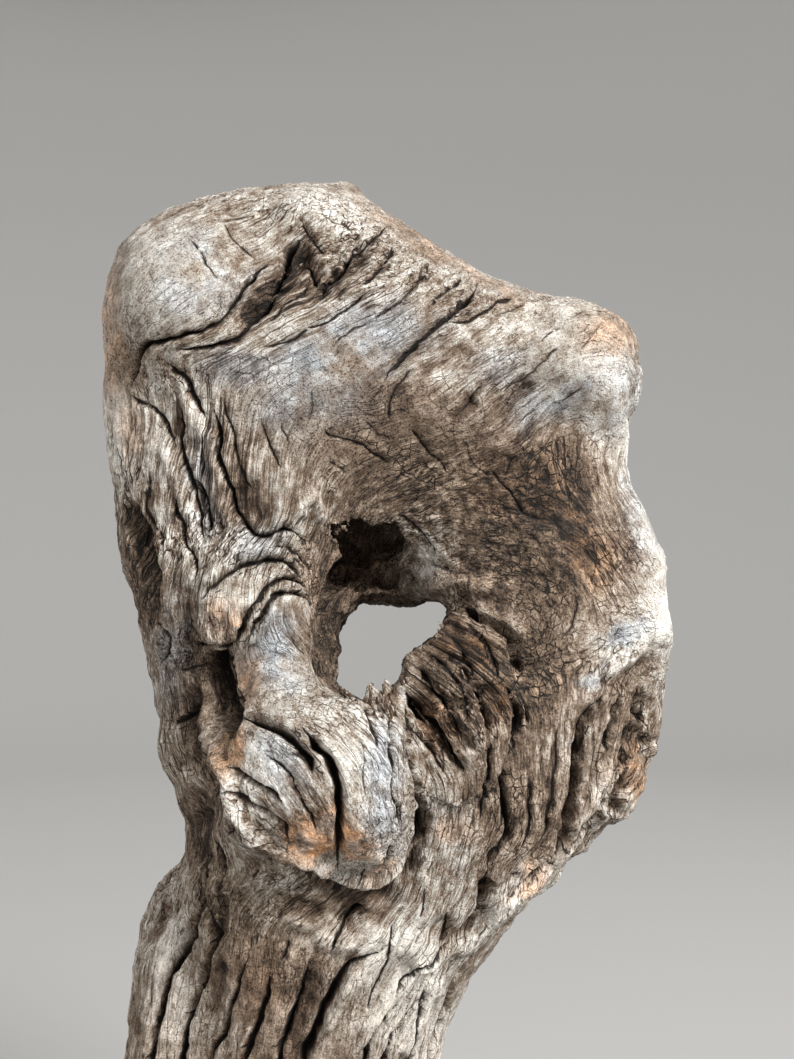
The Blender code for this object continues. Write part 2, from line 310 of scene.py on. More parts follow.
# Soft furrows: half width, depth and points.
FURROWS = (
    (5, 5, (-31, 152), (-38, 143), (-44, 134), (-50, 127), (-58, 119)),
    (6, 4, (-8, 150), (-17, 146), (-24, 138), (-30, 130)),
    (4, 3, (-100, 56), (-97, 48), (-95, 43), (-93.7, 35), (-92, 28), (-91.5, 16), (-92, 4)),
    (3.5, 4.5, (-99.9, 56), (-97.3, 48), (-95.2, 43), (-93.7, 35), (-92, 28), (-91.4, 16)),
    (5, 3, (52, 100), (47, 94), (42.5, 88.5), (37, 84)),
    (4, 3, (31, 94), (26, 88), (22, 82)),
    (7, 4, (-58, 62), (-55, 52), (-48, 45)),
    (6, 3, (-74, 80), (-72, 66), (-68, 54), (-64, 42)),
    (3.0, 4.5, (78, -21), (75, -25), (72, -30), (70.4, -36), (69.5, -45), (69.3, -50),
     (67.5, -57), (65.5, -63), (65, -70), (62.5, -75.5), (59, -79)),
    (2.2, 2.5, (86.5, -20), (83.7, -27), (80, -38), (77, -48), (74, -56)),
    (2.0, 3, (86, -50), (84, -58), (82, -64)),
    (2.0, 2.5, (79, -58), (75.7, -65), (72, -71)),
    (1.8, 2.5, (46.2, -38), (43.5, -47.5), (41.3, -53), (42.6, -63.5), (43.5, -70), (41, -75),
     (37.2, -79.6), (36, -87)),
    (2.8, 5, (36, -87), (35.5, -95), (33, -102), (30, -105.6), (26, -109.5), (20, -113)),
    (1.5, 1.5, (50.5, -48), (51, -58), (51.5, -68)),
    (1.5, 1.5, (58, -48), (58.5, -60), (57, -70)),
    (2.2, 3, (92, -30), (88, -38), (86, -46)),
    (5, 3, (-45, -98), (-38, -97), (-31, -98.5), (-25, -101)),
    (6, 4, (-20, -106), (-16, -101), (-10, -101)),
    (4, 3, (-84, -97), (-88, -103), (-92, -108), (-94, -114)),
    (4, 4, (-66, -92), (-66, -104), (-67, -112)),
    (4, 3, (-65, -118), (-66.5, -128), (-69, -140)),
    (4, 4, (-76, -62), (-74, -70), (-73, -78), (-71.4, -84)),
    (3.6, 7, (-62, -2), (-65, -8), (-65.5, -15), (-65, -22), (-63.5, -29), (-62, -34)),
    (6, 4, (-74, -14), (-74, -24), (-73, -33), (-71, -42), (-67, -52), (-61, -60)),
    (5, 4, (-53, -72), (-44, -79), (-35, -83), (-26, -87), (-17, -93), (-5, -93), (4, -88)),
    (3.2, 4, (12, -60), (11, -70), (8, -79), (3, -88)),
    (5, 3, (100, 2), (95, -5), (90, -12), (84, -17)),
    (5, 3, (-78, 24), (-78, 12), (-76, 0), (-76, -10)),
    (5, 4, (-30, -120), (-33, -135), (-38, -150), (-39, -175)),
    (5, 3, (-45, -150), (-50, -170), (-51, -210), (-53, -250)),
    (6, 3, (-20, -150), (-22, -175), (-24, -220), (-26, -282)),
    (5, 3, (-84, -150), (-88, -180), (-88, -230), (-88, -282)),
    (6, 3, (4, -150), (4, -180), (8, -225), (12, -282)),
)

# Ridges and lips: half width, height and points.
RIDGES = (
    (2.3, 6.5, (-71.5, -12), (-71, -20), (-69.6, -29), (-67.8, -38), (-65, -45), (-62, -51),
     (-59.5, -58), (-55, -65), (-50.5, -72), (-43.7, -77), (-35, -79.8), (-26, -83.5),
     (-18, -88), (-12, -90), (-5, -88), (1.5, -84), (6, -79.5), (9, -73)),
    (3.5, 3, (-74, 12), (-71, 4), (-65, 3), (-60, 7), (-59, 13), (-54, 19), (-48, 25)),
    (3, 3, (-72, 22), (-66, 28), (-58, 33.5), (-50, 36), (-43, 35)),
    (2.5, 3, (-54, 2), (-50, 8), (-46, 12), (-41, 16)),
    (3, 3, (-36, 47), (-33, 53), (-30, 55), (-27, 50), (-27, 44)),
    (5, 2.5, (84, 92), (87, 76), (91, 60), (94, 45), (97, 30), (99, 15), (99, 2), (92, -4),
     (84, -9), (74, -14)),
    (1.8, 3, (85, -46), (84, -54), (80, -62), (74, -69), (66, -77), (58, -84), (48, -92),
     (40, -99), (33, -106)),
    (3, 2.5, (-80, 97), (-76, 88), (-74, 78), (-75, 68), (-71, 60), (-67, 50), (-66, 42)),
    (3, 2, (-85, 80), (-84, 70), (-81, 62), (-78, 52), (-76, 44)),
    (3, 2.5, (-70, 82), (-70, 72), (-67, 62), (-63.5, 50), (-60, 43)),
    (4, 3, (44, -0.5), (40, 2), (35, 3.5), (29, 8), (24, 11)),
    (3.5, 3, (50, 2), (46, 7), (40, 9.5), (36, 12), (30, 16)),
    (3, 2, (15, 22), (24, 24), (33, 22), (40, 20)),
    (3, 3, (33, -101), (40, -96), (47, -89), (55, -82), (62, -76), (69, -66), (75, -58),
     (80, -48), (82, -38)),
    (3, 3, (22, -118), (31, -109), (40, -101), (50, -93), (60, -86), (68, -77)),
    (3, 2.5, (90, -40), (91, -52), (87, -60), (80, -66)),
    (3, 2, (64, -70), (62, -60), (63, -50), (64, -38)),
    (3, 3, (-13, -154), (-9, -144), (-3, -135), (5, -126), (14, -119), (22, -115)),
    (3, 3, (4, -156), (8, -145), (13, -133), (20, -122)),
    (3.5, 3, (-25, -146), (-21, -136), (-17, -128), (-10, -121)),
    (3, 2.5, (-79, -84), (-76, -92), (-77, -100), (-83, -112), (-89, -128)),
    (3, 2.5, (-68, -86), (-68, -98), (-71, -110)),
    (4, 2.5, (-30, -108), (-22, -112), (-12, -113), (-5, -109), (2, -113)),
    (3, 2.5, (-45, -93), (-36, -103), (-28, -106)),
    (2, 2, (-49, -133), (-52, -143), (-58, -154)),
    (3, 2.5, (30, -30), (32, -36), (29, -41), (26, -44)),
)

# Broad swells of the wood: x, z, two radii, turn in degrees and height.
SWELLS = (
    (-80, 138, 30, 26, 35, 4.0),
    (-28, 141, 26, 13, 40, -4.0),
    (-30, 163, 18, 9, -5, 3.0),
    (-45, 4, 15, 26, -15, 7.0),
    (-60, 14, 14, 16, 40, 3.0),
    (-62, -24, 5.5, 8, 0, -7.0),
    (-66, -12, 6, 10, 10, -4.0),
    (-70, -60, 9, 14, -30, -4.0),
    (-6, -70, 15, 18, 0, 4.0),
    (97, 18, 10, 46, 3, 2.5),
    (72, 106, 24, 18, -20, 3.0),
    (40, 92, 12, 26, -35, -2.5),
    (24, 22, 20, 7, -5, 3.0),
    (94, -23, 4, 7, 0, -4.0),
    (95.5, -36, 2.4, 2.8, 0, -4.0),
    (83, -58, 4, 8, -20, -2.0),
    (-100, 38, 5, 16, 4, 2.0),
    (-10, -100, 16, 8, 20, -2.5),
    (10, -115, 10, 7, 0, 3.0),
    (18, -107, 6, 6, 0, -2.5),
    (-40, -95, 26, 12, 0, 2.0),
    (28, -14, 18, 22, 30, 3.0),
    (60, 60, 22, 18, 0, -2.0),
    (-90, 60, 12, 26, 8, 2.0),
)

# Where the outline itself is moved out or in: x, z, two radii, turn in degrees and how far.
SHAPING = (
    (40, 142, 20, 8, -32, -2.5),
    (20, 150, 14, 9, -32, -1.0),
    (75, 120, 22, 9, -20, 5.0),
    (-16, 172, 8, 6, 0, 1.8),
    (92, 65, 9, 20, 0, -3.2),
    (99, 45, 9, 15, 0, -2.5),
    (104, 22, 7, 18, 0, -2.5),
    (100, -32, 8, 13, 0, 2.0),
    (-87, -42, 8, 13, 0, 3.0),
    (-108, 80, 7, 24, 0, 1.5),
    (79, -72, 10, 8, 0, -2.5),
    (66, -83, 10, 8, 0, -2.0),
)

# Stains on the front: kind, x, z, two radii, turn in degrees and strength.
STAINS = (
    ("pale", -78, 140, 34, 24, 30, 0.5),
    ("pale", -22, 162, 22, 10, -10, 0.65),
    ("pale", 30, 140, 44, 6, -31, 0.1),
    ("pale", 66, 110, 30, 20, -20, 0.7),
    ("pale", 38, 120, 20, 9, 15, 0.5),
    ("pale", 84, 84, 12, 30, 4, 0.7),
    ("pale", 99, 24, 9, 46, 2, 0.5),
    ("pale", 96, 8, 11, 14, 0, 0.8),
    ("pale", -22, -74, 20, 10, 0, 0.9),
    ("pale", -104, 76, 8, 20, 0, 0.8),
    ("pale", 30, 60, 18, 12, 0, 0.5),
    ("pale", -57, -12, 8, 13, 0, 0.7),
    ("pale", 84, -4, 24, 6, 32, 0.45),
    ("pale", -20, 112, 40, 16, 25, 0.3),
    ("pale", -98, 82, 14, 28, 0, 0.9),
    ("pale", -76, 55, 10, 26, 12, 0.35),
    ("pale", -108, 120, 8, 30, 0, 0.7),
    ("pale", 11, 31, 9, 11, 0, 1.2),
    ("pale", -70, -40, 4, 30, -18, 0.9),
    ("pale", -60, 14, 12, 18, -30, 0.55),
    ("pale", -42, -14, 18, 22, 0, 0.45),
    ("pale", -14, -46, 18, 28, 10, 0.8),
    ("pale", -52, -46, 14, 18, 20, 1.0),
    ("pale", -12, -76, 26, 12, 0, 0.9),
    ("pale", -33, 66, 18, 12, 10, 0.35),
    ("pale", 5, -112, 24, 16, 20, 0.7),
    ("pale", 6, -138, 22, 34, 20, 1.0),
    ("pale", -84, -128, 14, 40, 8, 0.7),
    ("pale", 48, -92, 30, 8, 40, 0.75),
    ("pale", 78, -50, 16, 22, -20, 0.5),
    ("pale", -28, -108, 14, 6, 0, 0.4),
    ("brown", 30, 26, 12, 8, 0, 0.5),
    ("brown", -50, 128, 14, 8, 55, 0.25),
    ("brown", -98, 104, 10, 14, 0, 0.5),
    ("brown", 55, 38, 36, 42, 10, 1.0),
    ("brown", 62, 66, 24, 18, 0, 0.7),
    ("brown", -60, 104, 18, 7, 0, 0.5),
    ("brown", 8, 94, 26, 8, 0, 0.35),
    ("brown", 88, 34, 5, 10, 0, 0.6),
    ("brown", 4, 70, 54, 30, -10, 0.7),
    ("brown", -14, 30, 20, 24, 0, 1.0),
    ("brown", -25, 4, 7, 22, 0, 1.0),
    ("brown", 28, -8, 24, 36, 30, 0.85),
    ("brown", 55, -12, 22, 22, 0, 1.0),
    ("brown", -72, -20, 14, 34, 0, 0.6),
    ("brown", -95, 28, 9, 36, 4, 0.7),
    ("brown", -60, 60, 10, 26, -10, 0.4),
    ("brown", -30, -98, 40, 12, 0, 0.25),
    ("brown", -45, -120, 30, 18, 0, 0.5),
    ("brown", -75, -66, 16, 26, 0, 0.5),
    ("brown", -66, -98, 14, 20, 0, 0.5),
    ("brown", 50, -58, 30, 34, 0, 0.6),
    ("brown", 84, -40, 10, 26, 0, 0.5),
    ("brown", -30, 27, 12, 8, 0, 0.4),
    ("brown", 90, -24, 9, 12, 0, 0.6),
    ("orange", -24, -72, 22, 10, 0, 1.9),
    ("orange", -4, -83, 8, 5, 20, 0.6),
    ("orange", -61, -38, 6, 14, 0, 0.9),
    ("orange", -54, -12, 9, 13, 0, 0.8),
    ("orange", -63, 10, 8, 12, 0, 0.7),
    ("orange", 74, 34, 10, 16, 20, 0.8),
    ("orange", 62, 50, 16, 8, 0, 0.5),
    ("orange", 22, -70, 10, 6, 0, 0.5),
    ("orange", 50, -88, 16, 3, 42, 0.6),
    ("orange", 40, -22, 7, 10, 0, 0.8),
    ("orange", 26, 0, 14, 9, -30, 0.9),
    ("orange", -60, -200, 120, 110, 0, 0.25),
    ("orange", 18, -30, 8, 14, 30, 0.8),
    ("orange", -48, -130, 12, 24, 15, 0.3),
    ("orange", 91, -48, 6, 16, 0, 0.9),
    ("orange", 80, 114, 16, 9, -20, 0.6),
    ("orange", -106, 120, 7, 40, 0, 0.6),
    ("orange", -98, 80, 7, 20, 0, 0.5),
    ("orange", 20, 146, 44, 4, -31, 0.5),
    ("orange", 50, 60, 30, 20, 0, 0.4),
    ("cool", 62, 92, 22, 9, 20, 0.7),
    ("cool", 88, 4, 12, 5, 30, 0.8),
    ("cool", 74, -12, 10, 4, 30, 0.7),
    ("cool", -30, -60, 12, 16, 10, 0.5),
    ("cool", 40, 104, 14, 10, 0, 0.5),
    ("cool", -10, 110, 40, 14, 20, 0.6),
    ("cool", -60, 104, 20, 10, 0, 0.6),
    ("cool", -70, 138, 24, 18, 30, 0.55),
    ("cool", -20, 116, 34, 12, 25, 0.6),
    ("cool", -30, 90, 30, 14, 10, 0.5),
    ("cool", 84, 94, 16, 18, 0, 0.4),
    ("cool", 92, 50, 8, 26, 0, 0.4),
    ("cool", -52, 40, 14, 10, 0, 0.5),
    ("cool", -72, 58, 8, 24, 10, 0.5),
    ("cool", -42, -2, 12, 20, 0, 0.8),
    ("cool", -42, -44, 12, 16, 20, 0.6),
    ("cool", -4, -50, 9, 26, 0, 0.8),
    ("cool", -84, 0, 8, 30, 0, 0.4),
)

# The way the grain runs: x, z, two radii and the direction in degrees from the right.
FLOWS = (
    (-85, -10, 30, 80, 92), (-85, 60, 26, 40, 97), (-55, 60, 24, 34, 104), (-100, 110, 22, 20, 90),
    (-80, 140, 34, 26, 50), (-30, 150, 34, 24, 42), (-30, 112, 40, 18, 24), (15, 128, 40, 22, 38),
    (60, 112, 36, 20, 36), (45, 90, 30, 16, 46), (5, 82, 34, 16, 5), (-35, 84, 20, 18, 50),
    (-47, 36, 18, 8, 8), (-57, 18, 10, 11, 55), (-44, 28, 10, 7, 14), (-34, 25, 8, 7, -35),
    (-47, 17, 8, 7, 48), (-42, 2, 10, 12, 95), (-40, -18, 14, 18, 95), (-48, -45, 14, 14, 145),
    (-25, -55, 12, 26, 105), (-5, -55, 12, 26, 90), (-35, -72, 16, 8, 140), (0, 55, 30, 14, -10),
    (-20, 50, 14, 14, 40), (38, 52, 16, 18, -50), (58, 36, 20, 34, -66), (92, 60, 16, 40, -86),
    (100, 20, 14, 34, -84), (82, 84, 18, 18, -80), (45, 18, 16, 14, -75), (26, -30, 16, 20, 114),
    (20, -10, 14, 14, 132), (36, 2, 14, 9, 150), (50, -40, 22, 34, 92), (76, -48, 20, 36, 76),
    (92, -26, 12, 24, 80), (46, -88, 26, 14, 52), (20, -80, 24, 26, 75), (20, -108, 22, 12, 45),
    (-15, -102, 26, 9, 15), (-42, -98, 22, 10, 10), (-74, -92, 18, 26, 88), (-50, -130, 26, 26, 74),
    (-15, -135, 26, 26, 62), (10, -135, 18, 26, 64), (-84, -130, 18, 30, 78),
    (-20, -180, 70, 40, 82), (-20, -240, 90, 60, 92), (-80, -200, 30, 60, 88),
    (20, -230, 30, 50, 104),
)

# Where the wood is torn: x, z, two radii, turn in degrees and how strongly.
TORN_PLACES = (
    (23, -20, 25, 34, 30, 1.0),
    (-26, 142, 24, 10, 42, 0.8),
    (-50, 127, 14, 6, 52, 0.5),
    (92, -26, 9, 20, 0, 0.7),
    (84, -60, 8, 12, -20, 0.6),
    (-60, -16, 8, 16, 0, 0.5),
    (-72, -32, 10, 12, 0, 0.4),
    (-95, 32, 7, 26, 6, 0.2),
)

# How rough the wood is: x, z, two radii, turn in degrees and amount over the usual 1.
ROUGHNESS = (
    (-30, -210, 130, 110, 0, -0.45),
    (24, 148, 60, 14, -31, -0.6),
    (-104, 116, 16, 44, 0, -0.5),
    (-20, 172, 40, 10, 0, -0.5),
    (-40, -120, 70, 30, 0, -0.2),
    (-34, 92, 34, 20, 20, -0.5),
    (8, 86, 44, 20, 0, -0.55),
    (-22, 76, 24, 14, 0, -0.45),
    (80, 82, 18, 14, 0, -0.5),
    (-80, 140, 30, 24, 30, -0.75),
    (70, 104, 34, 24, -15, -0.6),
    (97, 30, 14, 50, 0, -0.5),
    (-20, 108, 50, 14, 25, -0.5),
    (-28, 142, 24, 12, 40, 1.3),
    (-75, 56, 30, 40, 5, 0.6),
    (-42, -20, 26, 34, 0, -0.35),
    (28, -16, 24, 34, 30, 0.3),
    (62, 8, 28, 18, 0, -0.5),
    (-25, -102, 46, 18, 0, 0.1),
    (60, -50, 34, 34, 0, -0.1),
)

# Rows of splinters: lean in degrees from the right, length, thickness, then the row's points.
SPLINTER_ROWS = (
    (100, 7.0, 2.4, (-11.5, -22), (-8, -21.5)),
    (84, 7.0, 2.2, (-3, -21.5), (0.8, -21)),
    (110, 4.0, 1.8, (-20, -17), (-14, -21), (-9, -22)),
    (95, 5.5, 2.2, (-8, -23), (-4, -22), (1, -20), (4, -16)),
    (104, 8.0, 2.0, (-8, -28), (-3, -27), (3, -26)),
    (116, 4.0, 2.2, (5.5, -15), (7, -10), (9, -6.5), (12, -3.5)),
    (120, 3.5, 2.0, (14, -1), (18, 3), (21, 7.5)),
    (120, 7.0, 1.8, (8, -22), (13, -28), (18, -35), (23, -43)),
    (124, 6.0, 1.6, (27, -12), (30, -20), (32, -28), (33, -36)),
    (124, 6.0, 1.5, (17, -10), (21, -17), (25, -25)),
    (126, 5.0, 1.5, (38, -8), (40, -17), (42, -27)),
    (-84, 5.0, 1.8, (12, -36), (17, -43), (22, -50), (28, -52)),
    (-60, 3.5, 1.6, (92, -16), (94, -24), (95, -31), (94, -40)),
    (-120, 3.5, 1.6, (84, -50), (82, -58), (79, -65)),
    (60, 3.0, 1.2, (-60, 0), (-57, 3), (-53, 7), (-50, 12)),
    (45, 5.0, 1.8, (-46, 133), (-38, 140), (-30, 143), (-22, 141)),
    (35, 4.5, 1.7, (-52, 126), (-44, 130), (-36, 136)),
)

# Depths, from front to back, that those outlines run between.
WAY_DEPTHS = (-80.0, -20.0, 14.0, 80.0)
BLOCK_DEPTHS = (-41.0, 12.0)
LEFT_STUB_DEPTHS = (-45.0, -37.0)
RIGHT_STUB_DEPTHS = (-42.0, -35.0)

# Balls, as a middle and radii: wood that narrows the hole, a hollow above it, and the space
# whose walls count as the inside of the hole.
THROAT = ((-2, 16, -2), (34, 12, 33))
CAVE, CAVE_LUMPS = ((-14, 2, 36), (19, 25, 17)), 0.5
INSIDE = ((-12, 0, 12), (22, 34, 38))

# Ellipses on the front, as x, z, two radii and turn: crossing cracks in the dish, painted light
# that makes the hollow paler, and the hollow's ceiling, where little is carved.
CRACKLED_DISH = (40, 48, 62, 44, 0)
CAVE_PAINTED_LIGHT = (-11, 34, 22, 18, 0)
CAVE_CEILING = (-11, 46, 9, 6, 0)

# The rod that a splinter is, before it is given its row's thickness and length.
SPLINTER_ROD = {
    "Vertices": 7, "Side Segments": 6, "Radius Top": 0.16, "Radius Bottom": 0.5, "Depth": 1.0,
}
# The least and the most that a splinter's lean strays by, and its share of its row's size.
LEAN_STRAY = ((-0.35, -0.45, -0.25), (0.35, 0.25, 0.25))
SIZE_SHARE = ((0.7, 0.7, 0.35), (1.5, 1.4, 1.35))
# How far splinters lean forward, how deep their roots are, and how far a splinter may stand
# from the plane of the hole.
LEAN_FORWARD = -0.25
ROOT_DEPTH = 1.2
FARTHEST_HIT = 60.0

# The grid over the front that the grain's direction is worked out on, in millimetres.
GRID_STEP = 2.5
GRID_LOW = np.array((-135.0, -300.0))
GRID_CELLS = (108, 200)

# How wide a crack opens, as a share of its stated width.
CRACK_OPENING = 0.75

# Cracks that follow the grain of the back and of the sides: how many, and how they wander.
REAR_CRACKS = 90
SIDE_CRACKS = 46
CRACK_SEED = 11
DRIFT_STEP = 6.0
DRIFT_WANDER = 0.12

# The stage, in metres: where the lamps stand from the middle of the hole, their diameters, and
# the bowl that the wood stands in.
KEY_PLACE, KEY_SIZE = Vector((1.38, -1.22, 1.22)), 1.1
FILL_PLACE, FILL_SIZE = Vector((-1.5, -1.1, 0.4)), 1.6
BACK_PLACE, BACK_SIZE = Vector((-0.5, 1.5, 2.0)), 1.6
BOWL_MIDDLE = 0.6
BOWL_RADIUS = 2.6
BOWL_CURVE = 1.1
BOWL_HEIGHT = 3.0
BOWL_SEGMENTS = 96
BOWL_STEPS = 14
LENS_MM = 50.0
SENSOR_MM = 36.0


# ---------------------------------------------------------------- numbers on the surface


def smoothstep(low, high, x):
    t = np.clip((x - low) / (high - low), 0.0, 1.0)
    return t * t * (3.0 - 2.0 * t)


def mixed(a, b, share):
    return a + (b - a) * share


# What the noise is made from: large odd numbers that scramble a cell's place, and the slopes
# that a corner of a cell may have.
CELL_PRIMES = (73856093, 19349663, 83492791)
SEED_PRIME = 2654435761
MIXING_PRIME = 1274126177
SLOPES = np.array([
    (1, 1, 0), (-1, 1, 0), (1, -1, 0), (-1, -1, 0), (1, 0, 1), (-1, 0, 1), (1, 0, -1), (-1, 0, -1),
    (0, 1, 1), (0, -1, 1), (0, 1, -1), (0, -1, -1), (1, 1, 0), (-1, 1, 0), (0, -1, 1), (0, -1, -1),
], np.float32)


def noise(points, seed=0):
    """Gradient noise from about -1 to 1 at an array of points."""
    cell = np.floor(points)
    part = (points - cell).astype(np.float32)
    ease = part * part * part * (part * (part * 6.0 - 15.0) + 10.0)
    cell = cell.astype(np.int64)
    total = np.zeros(len(points), np.float32)
    for corner in np.ndindex(2, 2, 2):
        x, y, z = ((cell + corner) * CELL_PRIMES).T
        key = x ^ y ^ z ^ (seed * SEED_PRIME)
        key = (key ^ (key >> 13)) * MIXING_PRIME
        key = (key ^ (key >> 16)) & 15
        lean = (SLOPES[key] * (part - np.array(corner, np.float32))).sum(axis=1)
        share = np.where(corner, ease, 1.0 - ease).prod(axis=1)
        total += lean * share
    return total


def layered(points, layers, seed=0):
    """Noise at several scales, each half as strong and twice as fine as the last."""
    return sum(noise(points * 2.0 ** i, seed + i) * 0.5 ** i for i in range(layers))


def creased(points, layers, seed=0):
    """Noise that is 0 on its high ground and -1 in sharp creases."""
    total, weight = np.zeros(len(points), np.float32), 0.0
    for i in range(layers):
        ridge = np.minimum(np.abs(noise(points * 2.0 ** i, seed + i)) * 2.2, 1.0)
        total -= (1.0 - ridge) ** 2 * 0.6 ** i
        weight += 0.6 ** i
    return total / weight


def ellipse(place, x, z, radius_x, radius_z, turn):
    """1 in the middle of an ellipse, 0 outside it, with a soft edge."""
    c, s = math.cos(math.radians(turn)), math.sin(math.radians(turn))
    dx, dz = place[:, 0] - x, place[:, 1] - z
    along, across = (dx * c + dz * s) / radius_x, (dz * c - dx * s) / radius_z
    return 1.0 - smoothstep(0.25, 1.15, np.sqrt(along * along + across * across))


def through(points, step=1.2):
    """A smooth run of points through a few given ones."""
    given = np.array(points, float)
    padded = np.vstack((2 * given[0] - given[1], given, 2 * given[-1] - given[-2]))
    found = []
    for a, b, c, d in zip(padded, padded[1:], padded[2:], padded[3:]):
        pieces = max(2, int(np.linalg.norm(c - b) / step))
        for t in np.arange(pieces) / pieces:
            found.append(0.5 * (2 * b + (c - a) * t + (2 * a - 5 * b + 4 * c - d) * t ** 2
                                + (3 * b - a - 3 * c + d) * t ** 3))
    return np.array(found + [given[-1]])


def beside(place, line, reach):
    """For each place within reach of a line: which, its signed distance, and how far along."""
    low, high = line.min(axis=0) - reach, line.max(axis=0) + reach
    near = np.flatnonzero(((place > low) & (place < high)).all(axis=1))
    at = place[near]
    best = np.full(len(near), 1e9)
    side = np.zeros(len(near))
    along = np.zeros(len(near))
    for i, (a, b) in enumerate(zip(line, line[1:])):
        run = b - a
        share = np.clip(((at - a) @ run) / (run @ run), 0.0, 1.0)
        off = at - a - share[:, None] * run
        distance = np.hypot(off[:, 0], off[:, 1])
        closer = distance < best
        best[closer] = distance[closer]
        side[closer] = (run[0] * off[:, 1] - run[1] * off[:, 0])[closer]
        along[closer] = (i + share[closer]) / (len(line) - 1)
    keep = best < reach
    return near[keep], np.copysign(best, side)[keep], along[keep]


def grain_flow():
    """The direction that the grain runs in over a grid on the front: by broad patches, and
    alongside the cracks and furrows."""
    axes = [GRID_LOW[i] + GRID_STEP * np.arange(GRID_CELLS[i]) for i in range(2)]
    place = np.stack(np.meshgrid(*axes, indexing="ij"), axis=-1)
    flow = np.zeros_like(place)
    total = np.full(place.shape[:2], 1e-4)
    for x, z, radius_x, radius_z, degrees in FLOWS:
        heading = np.array((math.cos(math.radians(degrees)), math.sin(math.radians(degrees))))
        off = (place - (x, z)) / (radius_x, radius_z)
        weight = np.exp(-(off ** 2).sum(axis=-1) * 1.4) * (40.0 / (radius_x + radius_z)) ** 2
        flow += weight[..., None] * heading
        total += weight
    flow /= total[..., None]
    broad = flow.copy()
    for half_width, _, *points in CRACKS + FURROWS:
        line = through(points, 3.0)
        for a, b in zip(line, line[1:]):
            step = (b - a) / np.linalg.norm(b - a)
            i, j = ((a - GRID_LOW) / GRID_STEP).astype(int)
            window = (slice(max(i - 4, 0), i + 6), slice(max(j - 4, 0), j + 6))
            if step @ broad[i, j] < 0.0:
                step = -step
            off = place[window] - a
            weight = np.exp(-(off ** 2).sum(axis=-1) / 22.0) * 0.9 * min(half_width, 1.5)
            flow[window] += weight[..., None] * step
    return flow / (np.linalg.norm(flow, axis=-1, keepdims=True) + 1e-6)


def drifting(start, flow, length, draw):
    """Points that wander along the flow, or up where there is none."""
    points, wander = [start], draw.normal(0.0, DRIFT_WANDER)
    for _ in range(max(2, int(length / DRIFT_STEP))):
        heading = np.array((0.0, 1.0))
        if flow is not None:
            cell = ((points[-1] - GRID_LOW) / GRID_STEP).astype(int)
            heading = flow[tuple(np.clip(cell, 0, np.array(GRID_CELLS) - 1))]
        wander = 0.6 * wander + draw.normal(0.0, DRIFT_WANDER)
        aside = np.array((heading[1], -heading[0]))
        points.append(points[-1] + DRIFT_STEP * (heading + wander * aside))
    return points


def potential(slope):
    """The height over the grid whose slope is nearest to the one given, by least squares."""
    across = (slope[1:, :, 0] + slope[:-1, :, 0]) / 2
    up = (slope[:, 1:, 1] + slope[:, :-1, 1]) / 2
    source = np.zeros(slope.shape[:2])
    source[:-1] += across
    source[1:] -= across
    source[:, :-1] += up
    source[:, 1:] -= up
    mirrored = np.concatenate((source, source[::-1]), axis=0)
    mirrored = np.concatenate((mirrored, mirrored[:, ::-1]), axis=1)
    spectrum = np.fft.fft2(mirrored)
    i, j = (2.0 - 2.0 * np.cos(2.0 * np.pi * np.fft.fftfreq(n)) for n in mirrored.shape)
    stiffness = i[:, None] + j[None, :]
    stiffness[0, 0] = 1.0
    spectrum[0, 0] = 0.0
    found = np.real(np.fft.ifft2(-spectrum / stiffness))
    return found[:slope.shape[0], :slope.shape[1]] * GRID_STEP


def sampled(grid, cell):
    """Values between the grid's points, at places counted in cells."""
    low = np.clip(np.floor(cell).astype(int), 0, np.array(grid.shape) - 2)
    part = np.clip(cell - low, 0.0, 1.0)
    part = part * part * (3.0 - 2.0 * part) * 0.3 + part * 0.7
    i, j = low.T
    s, t = part.T
    return ((grid[i, j] * (1 - s) + grid[i + 1, j] * s) * (1 - t)
            + (grid[i, j + 1] * (1 - s) + grid[i + 1, j + 1] * s) * t)


